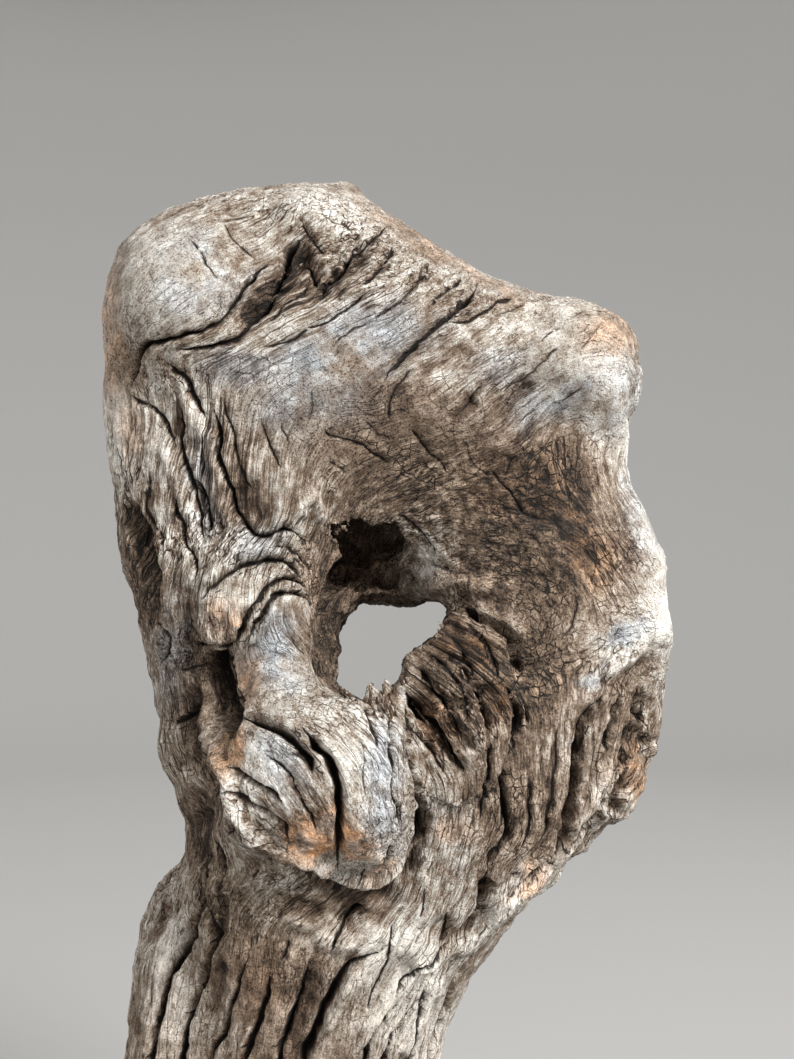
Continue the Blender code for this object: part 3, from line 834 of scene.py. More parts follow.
class Surface:
    """The blank wood's points, and what is pressed into them."""

    def __init__(self, mesh):
        count = len(mesh.vertices)
        points = np.empty(count * 3, np.float32)
        normals = np.empty(count * 3, np.float32)
        mesh.vertices.foreach_get("co", points)
        mesh.vertex_normals.foreach_get("vector", normals)
        self.points = (points.reshape(-1, 3) - np.array(HOLE)) / MM
        self.normals = normals.reshape(-1, 3)
        self.height = np.zeros(count)
        # hollow is painted shade in low places, furrows and cracks; proud makes high places paler, a
        # painted highlight as well as bleaching.
        self.hollow = np.zeros(count)
        self.proud = np.zeros(count)
        self.crack_side = np.full(count, 9.0)
        self.crack_reach = np.zeros(count)
        eye = np.array(EYE)
        away = -EYE[1] / (self.points[:, 1] - EYE[1])
        wobble = np.stack([noise(self.points / 5.0, seed) for seed in (1, 2)], axis=1)
        fine = np.stack([noise(self.points / 1.8, seed) for seed in (3, 4)], axis=1)
        flat = self.points[:, [0, 2]] - eye[[0, 2]]
        self.place = eye[[0, 2]] + flat * away[:, None]
        self.ragged = self.place + wobble * 0.9 + fine * 0.35
        self.front = smoothstep(-0.02, 0.3, -self.normals[:, 1])
        self.facing = smoothstep(-0.5, 0.0, -self.normals[:, 1])
        middle, radii = INSIDE
        reach = np.linalg.norm((self.points - middle) / radii, axis=1)
        self.inside = 1.0 - smoothstep(0.85, 1.1, reach)
        self.inside *= smoothstep(-24.0, -12.0, self.points[:, 1])
        self.grain = self.grain_coordinates()
        self.roughness = 1.0 + self.patches(ROUGHNESS) * self.facing

    def patches(self, rows):
        """The sum of ellipses with ragged edges, each with its own amount."""
        total = np.zeros(len(self.points))
        stray = [layered(self.points / 11.0, 3, seed) for seed in (5, 8)]
        place = self.place + np.stack(stray, axis=1) * 5.0
        for *shape, amount in rows:
            total += ellipse(place, *shape) * amount
        return total

    def grain_coordinates(self):
        """Millimetres across the grain, along it and into the wood."""
        self.flow = flow = grain_flow()
        across = potential(np.stack([flow[..., 1], -flow[..., 0]], axis=-1))
        along = potential(flow)
        cell = (self.place - GRID_LOW) / GRID_STEP
        return np.stack([sampled(across, cell), sampled(along, cell), self.points[:, 1]], axis=1)

    def along_grain(self, across, along, seed=0, layers=2, kind=layered):
        """Noise stretched along the grain, with a feature size across it and along it."""
        size = np.array((across, along, across))
        bend = noise(self.points / 16.0, seed + 90) * 2.5
        return kind((self.grain + bend[:, None] * (1, 0, 0.6)) / size, layers, seed)

    def press_swells(self):
        """Broad humps and hollows."""
        for *shape, amount in SHAPING:
            self.height += ellipse(self.place, *shape) * amount
        for *shape, amount in SWELLS:
            lift = ellipse(self.place, *shape) * amount * self.front
            self.height += lift
            # Painted shade in the sunken places.
            self.hollow += np.maximum(-lift, 0.0) / 11.0

    def press_line(self, half_width, points, spread, place=None, mask=None):
        """The places near a stroke, their distance from it, its width there and the share of
        its full depth that it reaches."""
        place = self.ragged if place is None else place
        mask = self.front if mask is None else mask
        line = through(points)
        reach = half_width * spread
        near, side, along = beside(place, line, max(reach, half_width + 1.8) * 1.05)
        taper = smoothstep(0.0, 0.12, along) * smoothstep(0.0, 0.18, 1.0 - along)
        uneven = 0.85 + 0.3 * noise(self.points[near] / 7.0, 21)
        width = half_width * (0.35 + 0.65 * taper) * uneven
        share = np.clip(1.0 - (side / (width * spread)) ** 2, 0.0, 1.0)
        return near, side, width, share * share * (0.25 + 0.75 * taper) * mask[near]

    def press_crack(self, half_width, depth, points, place=None, mask=None):
        """One crack: its groove, its shade, and how far each point near it is from its middle."""
        spread = 1.15 + 0.45 / half_width
        near, side, width, share = self.press_line(half_width, points, spread, place, mask)
        self.height[near] -= share * depth * min(0.8, half_width / 1.3)
        # Painted shade along the crack, kept in hollow.
        dark = share ** 2.5 * min(1.0, 0.3 + depth / 8.0)
        self.hollow[near] = np.maximum(self.hollow[near], dark)
        closer = np.abs(side) < np.abs(self.crack_side[near])
        touched = near[closer]
        self.crack_side[touched] = side[closer]
        fade = 1.0 - smoothstep(width + 0.8, width + 1.6, np.abs(side))
        fade *= (self.front if mask is None else mask)[near]
        self.crack_reach[touched] = (width * 0.8 * fade)[closer]

    def press_cracks(self, strength):
        """The cracks of the front, and cracks along the grain of the back and the sides."""
        for half_width, depth, *points in CRACKS:
            self.press_crack(half_width * CRACK_OPENING, depth * strength, points)
        rear = smoothstep(0.15, 0.4, self.normals[:, 1]) * (1.0 - self.inside)
        side_on = smoothstep(0.55, 0.75, np.abs(self.normals[:, 0])) * (1.0 - self.inside)
        side_on *= 1.0 - self.front
        ragged_side = self.points[:, [1, 2]] + (self.ragged - self.place)
        draw = np.random.default_rng(CRACK_SEED)
        for place, mask, flow, count in (
            (self.ragged, rear, self.flow, REAR_CRACKS), (ragged_side, side_on, None, SIDE_CRACKS),
        ):
            spots = np.flatnonzero(mask > 0.9)
            for start in place[draw.choice(spots, count)]:
                half_width = 0.55 + 1.4 * draw.random() ** 2
                points = drifting(start, flow, 20.0 + half_width * 50.0 * draw.random(), draw)
                self.press_crack(half_width, half_width * 4.0 * strength, points, place, mask)

    def press_furrows(self):
        for half_width, depth, *points in FURROWS:
            near, _, _, share = self.press_line(half_width, points, 1.5)
            self.height[near] -= share * depth
            # Painted shade in the furrows.
            self.hollow[near] = np.maximum(self.hollow[near], share * min(1.0, depth / 7.0))

    def raise_ridges(self):
        for half_width, height, *points in RIDGES:
            near, _, _, share = self.press_line(half_width, points, 1.5)
            self.height[near] += share * height
            # Paler ridges: a painted highlight as well as bleaching.
            self.proud[near] = np.maximum(self.proud[near], share)

    def weather(self, strength):
        """Relief along the grain all over, deepest on the trunk, the flanks and the back."""
        trunk = 1.0 - smoothstep(-110.0, -60.0, self.points[:, 2])
        rough = np.clip(self.roughness + 0.2 * trunk, 0.15, 3.0) * strength
        away = mixed(1.25, 0.4, self.front)
        waves = layered(self.points / 34.0, 2, 30) * 2.0 * away * (1.0 - self.inside)
        furrows = self.along_grain(14.0, 110.0, seed=40, kind=creased) * 2.2 * away
        crinkle = self.along_grain(5.0, 34.0, seed=50, kind=creased)
        fibres = self.along_grain(2.2, 12.0, seed=60) * 0.55
        lumps = layered(self.points / 7.0, 3, 66) * 0.6
        pits = np.minimum(layered(self.points / 2.8, 2, 70) + 0.2, 0.0) * 0.55
        relief = (furrows + crinkle + fibres) * rough + (lumps + pits) * (0.5 + 0.5 * rough)
        self.height += waves + relief
        # Painted shade in the low places of this relief, and paler high places, a painted highlight
        # as well as bleaching.
        self.hollow = np.maximum(self.hollow, np.clip(-(relief + 0.9 * rough) / 3.0, 0.0, 0.85))
        self.proud = np.maximum(self.proud, np.clip((relief + 0.7 * rough) / 1.4, 0.0, 1.0))

    def tear(self):
        """Strands that stand proud and gaps between them, where the wood is torn."""
        share = np.clip(self.patches(TORN_PLACES), 0.0, 1.0) * self.front
        strands = self.along_grain(2.8, 11.0, seed=80, layers=3, kind=creased) * 1.4
        slabs = self.along_grain(8.0, 18.0, seed=82, kind=creased) * 2.2
        steps = layered(self.points / 7.0, 3, 84) * 4.2
        relief = strands + slabs + steps
        self.height += share * (relief + 1.2)
        # Painted shade in the gaps between the strands.
        self.hollow = np.maximum(self.hollow, share * np.clip(-relief / 4.0 - 0.4, 0.0, 1.0))

    def crackle(self):
        """Small cracks that cross the grain in the dish."""
        share = ellipse(self.place, *CRACKLED_DISH) * self.front
        net = creased(self.points / 5.0, 1, 95)
        self.height += share * net * 0.7
        # Painted shade in the small cracks.
        self.hollow = np.maximum(self.hollow, share * np.clip(-net - 0.6, 0.0, 1.0))

    def stain(self, kind):
        """How strong a kind of stain is at each point, from 0 to 1."""
        rows = [row[1:] for row in STAINS if row[0] == kind]
        return np.clip(self.patches(rows), 0.0, 1.0) * self.facing

    def write(self, mesh):
        """Moves the mesh's points and gives it the attributes that its material reads."""
        free = smoothstep(0.0, 6.0, self.points[:, 2] + HOLE.z / MM)
        free *= 1.0 - 0.85 * ellipse(self.place, *CAVE_CEILING)
        moved = self.points + self.normals * (self.height * free)[:, None]
        moved = moved * MM + np.array(HOLE)
        moved[:, 2] = np.maximum(moved[:, 2], 0.0)
        mesh.vertices.foreach_set("co", moved.astype(np.float32).ravel())
        back = (1.0 - self.facing) * (1.0 - self.inside)
        # Painted shade on the walls inside the hole: less pale and more brown there.
        hole_shade = self.inside * (1.0 - 0.4 * self.front)
        # Painted light that makes the hollow above the hole paler.
        cave = ellipse(self.place, *CAVE_PAINTED_LIGHT) * self.inside
        bleached = np.clip(0.25 + layered(self.points / 40.0, 2, 97) * 0.9, 0.0, 0.7)
        darkened = np.clip(0.2 + layered(self.points / 32.0, 2, 99) * 0.9, 0.0, 0.7)
        pale = self.stain("pale") + back * bleached
        pale = pale * (1.0 - hole_shade) + cave * 1.6
        brown = self.stain("brown") + hole_shade * 0.35 + cave * 0.3 + back * darkened
        # Where cracks are and how wide, which the material paints shade into.
        crack = (np.clip(self.crack_side, -4, 4), self.crack_reach,
                 np.clip(self.roughness ** 1.5, 0.15, 1.7))
        for name, columns in (
            ("grain", self.grain),
            ("stain", np.stack([brown, pale, self.stain("orange")], axis=1)),
            # hollow and proud carry painted shade and a painted highlight; cool is a stain.
            ("wear", np.stack([self.hollow, self.proud, self.stain("cool")], axis=1)),
            ("crack", np.stack(crack, axis=1)),
        ):
            layer = mesh.attributes.new(name, "FLOAT_VECTOR", "POINT")
            layer.data.foreach_set("vector", columns.astype(np.float32).ravel())
        mesh.update()


# ---------------------------------------------------------------- meshes


def new_object(name, mesh):
    obj = bpy.data.objects.new(name, mesh)
    bpy.context.scene.collection.objects.link(obj)
    return obj


def mesh_of(bm, name):
    mesh = bpy.data.meshes.new(name)
    bm.to_mesh(mesh)
    bm.free()
    return mesh


def make_real(obj):
    """Gives the object the plain mesh that its modifiers make, and drops them."""
    graph = bpy.context.evaluated_depsgraph_get()
    mesh = bpy.data.meshes.new_from_object(obj.evaluated_get(graph))
    mesh.name = obj.name
    obj.modifiers.clear()
    obj.data = mesh


def bridge(bm, rings):
    """A skin between each closed ring and the next."""
    for ring, following in zip(rings, rings[1:]):
        for i in range(len(ring)):
            j = (i + 1) % len(ring)
            bm.faces.new((ring[i], ring[j], following[j], following[i]))


def prism(name, depths, *outlines):
    """A closed solid through an outline at each depth, as seen from the eye."""
    bm = bmesh.new()
    rings = []
    for depth, outline in zip(depths, outlines):
        scale = (depth - EYE[1]) / -EYE[1]
        ring = []
        for x, z in outline:
            at = (EYE[0] + (x - EYE[0]) * scale, depth, EYE[2] + (z - EYE[2]) * scale)
            ring.append(bm.verts.new(Vector(at) * MM + HOLE))
        rings.append(ring)
    bridge(bm, rings)
    bm.faces.new(rings[0])
    bm.faces.new(rings[-1])
    bmesh.ops.recalc_face_normals(bm, faces=bm.faces)
    return new_object(name, mesh_of(bm, name))


def ball(name, centre, radii, lumps=0.0):
    """A ball, with lumps as a share of its radii."""
    bm = bmesh.new()
    bmesh.ops.create_icosphere(bm, subdivisions=4, radius=1.0)
    swell = 1.0 + noise(np.array([vert.co for vert in bm.verts]) * 1.7, 7) * lumps
    for vert, size in zip(bm.verts, swell):
        at = Vector(c + v * r * size for c, v, r in zip(centre, vert.co, radii))
        vert.co = at * MM + HOLE
    return new_object(name, mesh_of(bm, name))


def welded_copy(node):
    """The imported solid's mesh with its loose triangles joined."""
    bm = bmesh.new()
    bm.from_mesh(frame["nodes"][node].data)
    bmesh.ops.remove_doubles(bm, verts=bm.verts, dist=1e-6)
    return mesh_of(bm, "blank")


def blank_wood(voxel):
    """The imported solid, smoothed and refined, with its hole opened to its ragged outline."""
    obj = new_object("driftwood_body", welded_copy(NODE))
    rounder = obj.modifiers.new("rounder", "SUBSURF")
    rounder.levels = rounder.render_levels = 1
    way = (MOUTH_OUTLINE, MOUTH_OUTLINE, HOLE_OUTLINE, HOLE_OUTLINE)
    left, right = STUB_OUTLINES
    changes = (
        ("UNION", ball("throat", *THROAT)),
        ("UNION", prism("block", BLOCK_DEPTHS, BLOCK_OUTLINE, BLOCK_OUTLINE)),
        ("DIFFERENCE", ball("cave", *CAVE, CAVE_LUMPS)),
        ("DIFFERENCE", prism("way_through", WAY_DEPTHS, *way)),
        ("UNION", prism("left_stub", LEFT_STUB_DEPTHS, left, left)),
        ("UNION", prism("right_stub", RIGHT_STUB_DEPTHS, right, right)),
    )
    for operation, other in changes:
        change = obj.modifiers.new(other.name, "BOOLEAN")
        change.operation = operation
        change.object = other
    remesh = obj.modifiers.new("even skin", "REMESH")
    remesh.mode = "VOXEL"
    remesh.voxel_size = voxel * MM
    soften = obj.modifiers.new("soften", "SMOOTH")
    soften.iterations = 5
    make_real(obj)
    for _, other in changes:
        bpy.data.objects.remove(other)
    return obj


def thin_out(obj, most_triangles):
    """Collapses faces where the surface is plain, down to the budget."""
    obj.data.calc_loop_triangles()
    thinning = obj.modifiers.new("thinning", "DECIMATE")
    thinning.ratio = min(1.0, most_triangles / len(obj.data.loop_triangles))
    make_real(obj)
    obj.data.validate()
    obj.data.shade_smooth()


# ---------------------------------------------------------------- shaders


class Wire:
    """A socket in a node tree. Arithmetic on it adds Math nodes."""

    def __init__(self, tree, socket):
        self.tree, self.socket = tree, socket

    def node(self, kind, settings=(), sockets=(), output=0):
        """A new node of any type, with its settings and its sockets' values or links."""
        made = self.tree.nodes.new(kind)
        for name, value in dict(settings).items():
            if name == "stops":
                ramp = made.color_ramp
                while len(ramp.elements) < len(value):
                    ramp.elements.new(0.5)
                for element, (position, colour) in zip(ramp.elements, value):
                    element.position = position
                    element.color = (*colour, 1.0)
            else:
                setattr(made, name, value)
        for name, value in dict(sockets).items():
            if isinstance(value, Wire):
                self.tree.links.new(value.socket, made.inputs[name])
            else:
                made.inputs[name].default_value = value
        return Wire(self.tree, made.outputs[output])

    def maths(self, operation, *values, clamp=False):
        settings = {"operation": operation, "use_clamp": clamp}
        return self.node("ShaderNodeMath", settings, dict(enumerate(values)))

    def __add__(self, other):
        return self.maths("ADD", self, other)

    def __sub__(self, other):
        return self.maths("SUBTRACT", self, other)

    def __rsub__(self, other):
        return self.maths("SUBTRACT", other, self)

    def __mul__(self, other):
        return self.maths("MULTIPLY", self, other)

    def __truediv__(self, other):
        return self.maths("DIVIDE", self, other)

    def __abs__(self):
        return self.maths("ABSOLUTE", self)

    __radd__, __rmul__ = __add__, __mul__

    def clamped(self):
        return self.maths("ADD", self, 0.0, clamp=True)

    def between(self, low, high):
        """0 at low and 1 at high, with a smooth run between them."""
        settings = {"interpolation_type": "SMOOTHSTEP"}
        sockets = {"Value": self, "From Min": low, "From Max": high}
        return self.node("ShaderNodeMapRange", settings, sockets)

    def scaled(self, by):
        """This vector times another, side by side."""
        return self.node("ShaderNodeVectorMath", {"operation": "MULTIPLY"}, {0: self, 1: by})

    def noise(self, scale, detail=2.0, roughness=0.5, distortion=0.0):
        sockets = {"Vector": self, "Scale": scale, "Detail": detail, "Roughness": roughness,
                   "Distortion": distortion}
        return self.node("ShaderNodeTexNoise", (), sockets)

    def bumped(self, relief, depth):
        sockets = {"Height": relief, "Distance": depth, "Strength": 1.0}
        return self.node("ShaderNodeBump", (), sockets)

    def split(self):
        """The three parts of this vector."""
        parts = self.node("ShaderNodeSeparateXYZ", (), {0: self}).socket.node
        return [Wire(self.tree, output) for output in parts.outputs]

    def mixed_into(self, colour, tint, blend="MIX"):
        """The colour, turned into the tint by this much. COLOR keeps how light it is."""
        settings = {"data_type": "RGBA", "blend_type": blend}
        return self.node("ShaderNodeMix", settings, {0: self, 6: colour, 7: tint}, output=2)


def new_material(name):
    """A material, a wire to start from and its Principled BSDF."""
    material = bpy.data.materials.new(name)
    material.use_nodes = True
    tree = material.node_tree
    shader = tree.nodes["Principled BSDF"]
    return material, Wire(tree, None), shader


def opaque(colour):
    return (*colour, 1.0)


def weathered_wood(finish):
    """Grey driftwood: pale on the high places, with a painted highlight; brown in the hollows and
    dark in the cracks, with painted shade.
    """
    material, start, shader = new_material("weathered_wood")
    attributes = {
        name: start.node("ShaderNodeAttribute", {"attribute_name": name}, (), output=1)
        for name in ("grain", "stain", "wear", "crack")
    }
    place = start.node("ShaderNodeTexCoord", (), (), output=3)
    brown, pale, orange = attributes["stain"].split()
    # hollow is painted shade, proud a painted highlight with bleaching, cool a stain.
    hollow, proud, cool = attributes["wear"].split()
    side, reach, streaky = attributes["crack"].split()
    grain = attributes["grain"]
    patches = place.noise(44.0, 4.0, 0.62)
    strands = grain.scaled((0.42, 0.035, 0.42)).noise(1.0, 4.0, 0.65)
    threads = grain.scaled((1.8, 0.16, 1.8)).noise(1.0, 3.0, 0.6)
    waver = grain.scaled((0.4, 0.022, 0.4)).noise(1.0, 2.0, 0.5)
    checks = (1.0 - abs(waver - 0.5).between(0.006, 0.03)) * patches.between(0.4, 0.55)
    mottle = place.noise(190.0, 6.0, 0.7)
    flecks = place.noise(1200.0, 3.0, 0.65)
    warped = start.node("ShaderNodeVectorMath", {"operation": "ADD"}, {0: place, 1: mottle * 0.0016})
    sockets = {"Vector": warped, "Scale": 240.0}
    net = start.node("ShaderNodeTexVoronoi", {"feature": "DISTANCE_TO_EDGE"}, sockets)
    net = (1.0 - net.between(0.01, 0.07)) * patches.between(0.42, 0.6) * mottle.between(0.4, 0.6)
    speckle = flecks.between(0.55, 0.64)

    tone = 0.53 + ((strands - 0.5) * 0.75 + (threads - 0.5) * 0.95) * streaky
    tone = tone + (mottle - 0.5) * 1.05 + (patches - 0.5) * 0.55
    tone = tone + (flecks - 0.5) * (1.75 - streaky * 0.6 + brown * 0.7) - orange * 0.05 - cool * 0.03
    # Stains, then a painted highlight on the high places and painted shade in the hollows.
    tone = tone + pale * 0.25 - brown * 0.25 + proud * 0.14 - hollow * 0.5
    tone = tone - speckle * 0.28 - checks * streaky * 0.28
    tone = tone - net * (0.16 + brown * 0.5)
    stops = [
        (0.0, finish.crack_colour), (0.14, finish.dark_colour), (0.36, finish.brown_colour),
        (0.56, finish.grey_colour), (0.78, finish.pale_colour), (1.0, finish.cream_colour),
    ]
    colour = start.node("ShaderNodeValToRGB", {"stops": stops}, {"Fac": tone.clamped()})
    warm = ((0.45 + patches.between(0.25, 0.7) * 0.55) * brown).clamped()
    colour = warm.mixed_into(colour, opaque(finish.brown_colour), "COLOR")
    rust = (orange * (0.25 + mottle.between(0.34, 0.6) * 0.65)).clamped()
    colour = rust.mixed_into(colour, opaque(finish.orange_colour), "COLOR")
    chill = (cool * patches.between(0.3, 0.55)).clamped()
    colour = chill.mixed_into(colour, opaque(finish.cool_colour), "COLOR")

    # Painted shade: the inside of each crack is turned almost to the crack colour.
    wobble = (mottle - 0.5) * 0.7 + (flecks - 0.5) * 0.3
    gap = abs(side + wobble) / (reach + 0.001)
    inside = (1.0 - gap.between(0.4, 1.1)) * reach.between(0.1, 0.4)
    colour = (inside * 0.93).mixed_into(colour, opaque(finish.crack_colour))
    start.tree.links.new(colour.socket, shader.inputs["Base Color"])

    rough = (0.82 + hollow * 0.12 - proud * 0.06 + (mottle - 0.5) * 0.12).clamped()
    start.tree.links.new(rough.socket, shader.inputs["Roughness"])
    relief = strands * 0.8 + threads * 0.8 + mottle * 0.8 - speckle * 0.4 - checks * 0.8
    relief = relief + flecks * 0.45 - net * 0.5 - inside * 1.2
    bump = start.bumped(relief, finish.bump_depth)
    start.tree.links.new(bump.socket, shader.inputs["Normal"])
    shader.inputs["Specular IOR Level"].default_value = 0.25
    return material


def torn_fibre(finish):
    """The raw brown wood of splinters, paler at streaks along it."""
    material, start, shader = new_material("torn_fibre")
    place = start.node("ShaderNodeTexCoord", (), (), output=3)
    streaks = place.scaled((1.0, 1.0, 0.22)).noise(900.0, 4.0, 0.65)
    flecks = place.noise(1300.0, 2.0, 0.6)
    tone = (0.42 + (streaks - 0.5) * 1.5 + (flecks - 0.5) * 0.6).clamped()
    stops = [
        (0.0, finish.crack_colour), (0.3, finish.dark_colour), (0.55, finish.brown_colour),
        (0.85, finish.pale_colour),
    ]
    colour = tone.node("ShaderNodeValToRGB", {"stops": stops}, {"Fac": tone})
    start.tree.links.new(colour.socket, shader.inputs["Base Color"])
    bump = start.bumped(streaks, finish.bump_depth)
    start.tree.links.new(bump.socket, shader.inputs["Normal"])
    shader.inputs["Roughness"].default_value = 0.88
    shader.inputs["Specular IOR Level"].default_value = 0.25
    return material


def splinter_guides(wood):
    """Rows of points on the wood's skin, with the lean and size of the splinters they carry."""
    tree = BVHTree.FromObject(wood, bpy.context.evaluated_depsgraph_get())
    eye = HOLE + Vector(EYE) * MM
    points, edges, leans, sizes = [], [], [], []
    for degrees, length, thickness, *row in SPLINTER_ROWS:
        turn = math.radians(degrees)
        lean = Vector((math.cos(turn), LEAN_FORWARD, math.sin(turn)))
        first = len(points)
        for x, z in through(row, 1.5):
            aim = HOLE + Vector((x, 0.0, z)) * MM
            hit, normal, _, _ = tree.ray_cast(eye, aim - eye)
            if hit is None or (hit - aim).length > FARTHEST_HIT * MM:
                hit, normal, _, _ = tree.find_nearest(aim - Vector((0.0, 25.0, 0.0)) * MM)
            points.append(hit - (normal * ROOT_DEPTH + lean * length * 0.25) * MM)
            leans.append(lean)
            sizes.append((thickness * MM, thickness * 0.6 * MM, length * MM))
            if len(points) > first + 1:
                edges.append((len(points) - 2, len(points) - 1))
    mesh = bpy.data.meshes.new("splinter_guides")
    mesh.from_pydata(points, edges, [])
    for name, values in (("lean", leans), ("size", sizes)):
        layer = mesh.attributes.new(name, "FLOAT_VECTOR", "POINT")
        layer.data.foreach_set("vector", [number for value in values for number in value])
    return new_object("driftwood_splinters", mesh)


def splinter_tree():
    """Geometry nodes that stand tapered splinters along the guides."""
    tree = bpy.data.node_groups.new("splinters", "GeometryNodeTree")
    sockets = {}
    for name, in_out, kind in (
        ("Guides", "INPUT", "NodeSocketGeometry"), ("Spacing", "INPUT", "NodeSocketFloat"),
        ("Unevenness", "INPUT", "NodeSocketFloat"), ("Seed", "INPUT", "NodeSocketInt"),
        ("Material", "INPUT", "NodeSocketMaterial"), ("Splinters", "OUTPUT", "NodeSocketGeometry"),
    ):
        sockets[name] = tree.interface.new_socket(name, in_out=in_out, socket_type=kind)
    start = Wire(tree, None)
    group = start.node("NodeGroupInput")
    guides, spacing, unevenness, seed, material = (
        Wire(tree, group.socket.node.outputs[i]) for i in range(5))
    lines = start.node("GeometryNodeMeshToCurve", (), {"Mesh": guides})
    stations = start.node(
        "GeometryNodeResampleCurve", {"mode": "LENGTH"}, {"Curve": lines, "Length": spacing})
    rod = start.node("GeometryNodeMeshCone", {"fill_type": "NGON"}, SPLINTER_ROD)
    vector = {"data_type": "FLOAT_VECTOR"}
    lean = start.node("GeometryNodeInputNamedAttribute", vector, {"Name": "lean"})
    size = start.node("GeometryNodeInputNamedAttribute", vector, {"Name": "size"})
    least, most = LEAN_STRAY
    stray = start.node("FunctionNodeRandomValue", vector, {0: least, 1: most, "Seed": seed})
    least, most = SIZE_SHARE
    share = start.node("FunctionNodeRandomValue", vector, {0: least, 1: most, "Seed": seed + 1.0})
    heading = start.node("ShaderNodeVectorMath", {"operation": "ADD"}, {0: lean, 1: stray})
    turn = start.node("FunctionNodeAlignRotationToVector", {"axis": "Z"}, {"Vector": heading})
    placed = start.node("GeometryNodeInstanceOnPoints", (), {
        "Points": stations, "Instance": rod, "Rotation": turn, "Scale": size.scaled(share)})
    real = start.node("GeometryNodeRealizeInstances", (), {"Geometry": placed})
    at = start.node("GeometryNodeInputPosition")
    ripple = start.node(
        "ShaderNodeTexNoise", (), {"Vector": at, "Scale": 420.0, "Detail": 2.0}, output=1)
    middle = (0.5, 0.5, 0.5)
    ripple = start.node("ShaderNodeVectorMath", {"operation": "SUBTRACT"}, {0: ripple, 1: middle})
    ripple = start.node(
        "ShaderNodeVectorMath", {"operation": "SCALE"}, {0: ripple, "Scale": unevenness})
    bent = start.node("GeometryNodeSetPosition", (), {"Geometry": real, "Offset": ripple})
    done = start.node("GeometryNodeSetMaterial", (), {"Geometry": bent, "Material": material})
    end = tree.nodes.new("NodeGroupOutput")
    tree.links.new(done.socket, end.inputs[0])
    return tree, {name: socket.identifier for name, socket in sockets.items()}


def plain_floor(look):
    """A matt, pale floor."""
    material, _, shader = new_material("plain_floor")
    shader.inputs["Base Color"].default_value = opaque(look.floor_colour)
    shader.inputs["Roughness"].default_value = 0.9
    shader.inputs["Specular IOR Level"].default_value = 0.1
    return material


# ---------------------------------------------------------------- what a user may change


class DriftwoodShape(bpy.types.PropertyGroup):
    voxel: FloatProperty(
        name="Carving Step", description="Size of the cells the wood is carved in, in millimetres",
        default=0.85, min=0.5, max=4.0)
    crack_depth: FloatProperty(
        name="Crack Depth", description="How deep the cracks go, as a share of their full depth",
        default=1.0, min=0.0, max=2.0, subtype="FACTOR")
    relief: FloatProperty(
        name="Weathering", description="How deep the furrows along the grain are",
        default=1.0, min=0.0, max=2.0, subtype="FACTOR")
    most_triangles: IntProperty(
        name="Most Triangles", description="Triangles that the carved wood is thinned to",
        default=196000, min=1000)


class DriftwoodSplinters(bpy.types.PropertyGroup):
    spacing: FloatProperty(
        name="Spacing", description="Distance from one splinter to the next", subtype="DISTANCE",
        unit="LENGTH", default=0.0017, min=0.0003)
    unevenness: FloatProperty(
        name="Unevenness", description="How far a splinter's skin strays", subtype="DISTANCE",
        unit="LENGTH", default=0.0018, min=0.0)
    seed: IntProperty(name="Seed", description="Which random set of splinters is used", default=4)


class DriftwoodFinish(bpy.types.PropertyGroup):
    cream_colour: FloatVectorProperty(
        name="Cream", description="Sun-bleached edges", subtype="COLOR", size=3,
        default=(0.74, 0.685, 0.60), min=0.0, max=1.0)
    pale_colour: FloatVectorProperty(
        name="Pale Grey", description="Bleached high places", subtype="COLOR", size=3,
        default=(0.50, 0.475, 0.435), min=0.0, max=1.0)
    grey_colour: FloatVectorProperty(
        name="Grey Brown", description="The wood's usual colour", subtype="COLOR", size=3,
        default=(0.275, 0.24, 0.20), min=0.0, max=1.0)
    # The browns are reached where the tone is low, also where painted shade lowers it in hollows and
    # cracks.
    brown_colour: FloatVectorProperty(
        name="Brown", description="Sheltered hollows", subtype="COLOR", size=3,
        default=(0.125, 0.085, 0.056), min=0.0, max=1.0)
    dark_colour: FloatVectorProperty(
        name="Dark Brown", description="Deep hollows", subtype="COLOR", size=3,
        default=(0.045, 0.028, 0.019), min=0.0, max=1.0)
    # The crack colour is painted shade inside cracks, and the darkest tone of the wood.
    crack_colour: FloatVectorProperty(
        name="Crack", description="The inside of cracks", subtype="COLOR", size=3,
        default=(0.010, 0.007, 0.005), min=0.0, max=1.0)
    orange_colour: FloatVectorProperty(
        name="Orange Brown", description="Rusty stains", subtype="COLOR", size=3,
        default=(0.40, 0.20, 0.085), min=0.0, max=1.0)
    cool_colour: FloatVectorProperty(
        name="Blue Grey", description="Silvery blue stains", subtype="COLOR", size=3,
        default=(0.27, 0.286, 0.304), min=0.0, max=1.0)
    bump_depth: FloatProperty(
        name="Fibre Depth", description="Height of the finest fibres", subtype="DISTANCE",
        unit="LENGTH", default=0.001, min=0.0, max=0.01)


class DriftwoodStage(bpy.types.PropertyGroup):
    floor_colour: FloatVectorProperty(
        name="Floor", description="Colour of the floor and the wall behind", subtype="COLOR",
        size=3, default=(0.25, 0.247, 0.24), min=0.0, max=1.0)
    key_power: FloatProperty(
        name="Key Light", description="Power of the main lamp", subtype="POWER", unit="POWER",
        default=136.0, min=0.0)
    fill_power: FloatProperty(
        name="Fill Light", description="Power of the lamp on the other side", subtype="POWER",
        unit="POWER", default=28.0, min=0.0)
    back_power: FloatProperty(
        name="Back Light", description="Power of the lamp behind", subtype="POWER", unit="POWER",
        default=45.0, min=0.0)
    air_light: FloatProperty(
        name="Room Light", description="Strength of the light from all round", default=0.6, min=0.0)


# ---------------------------------------------------------------- operators


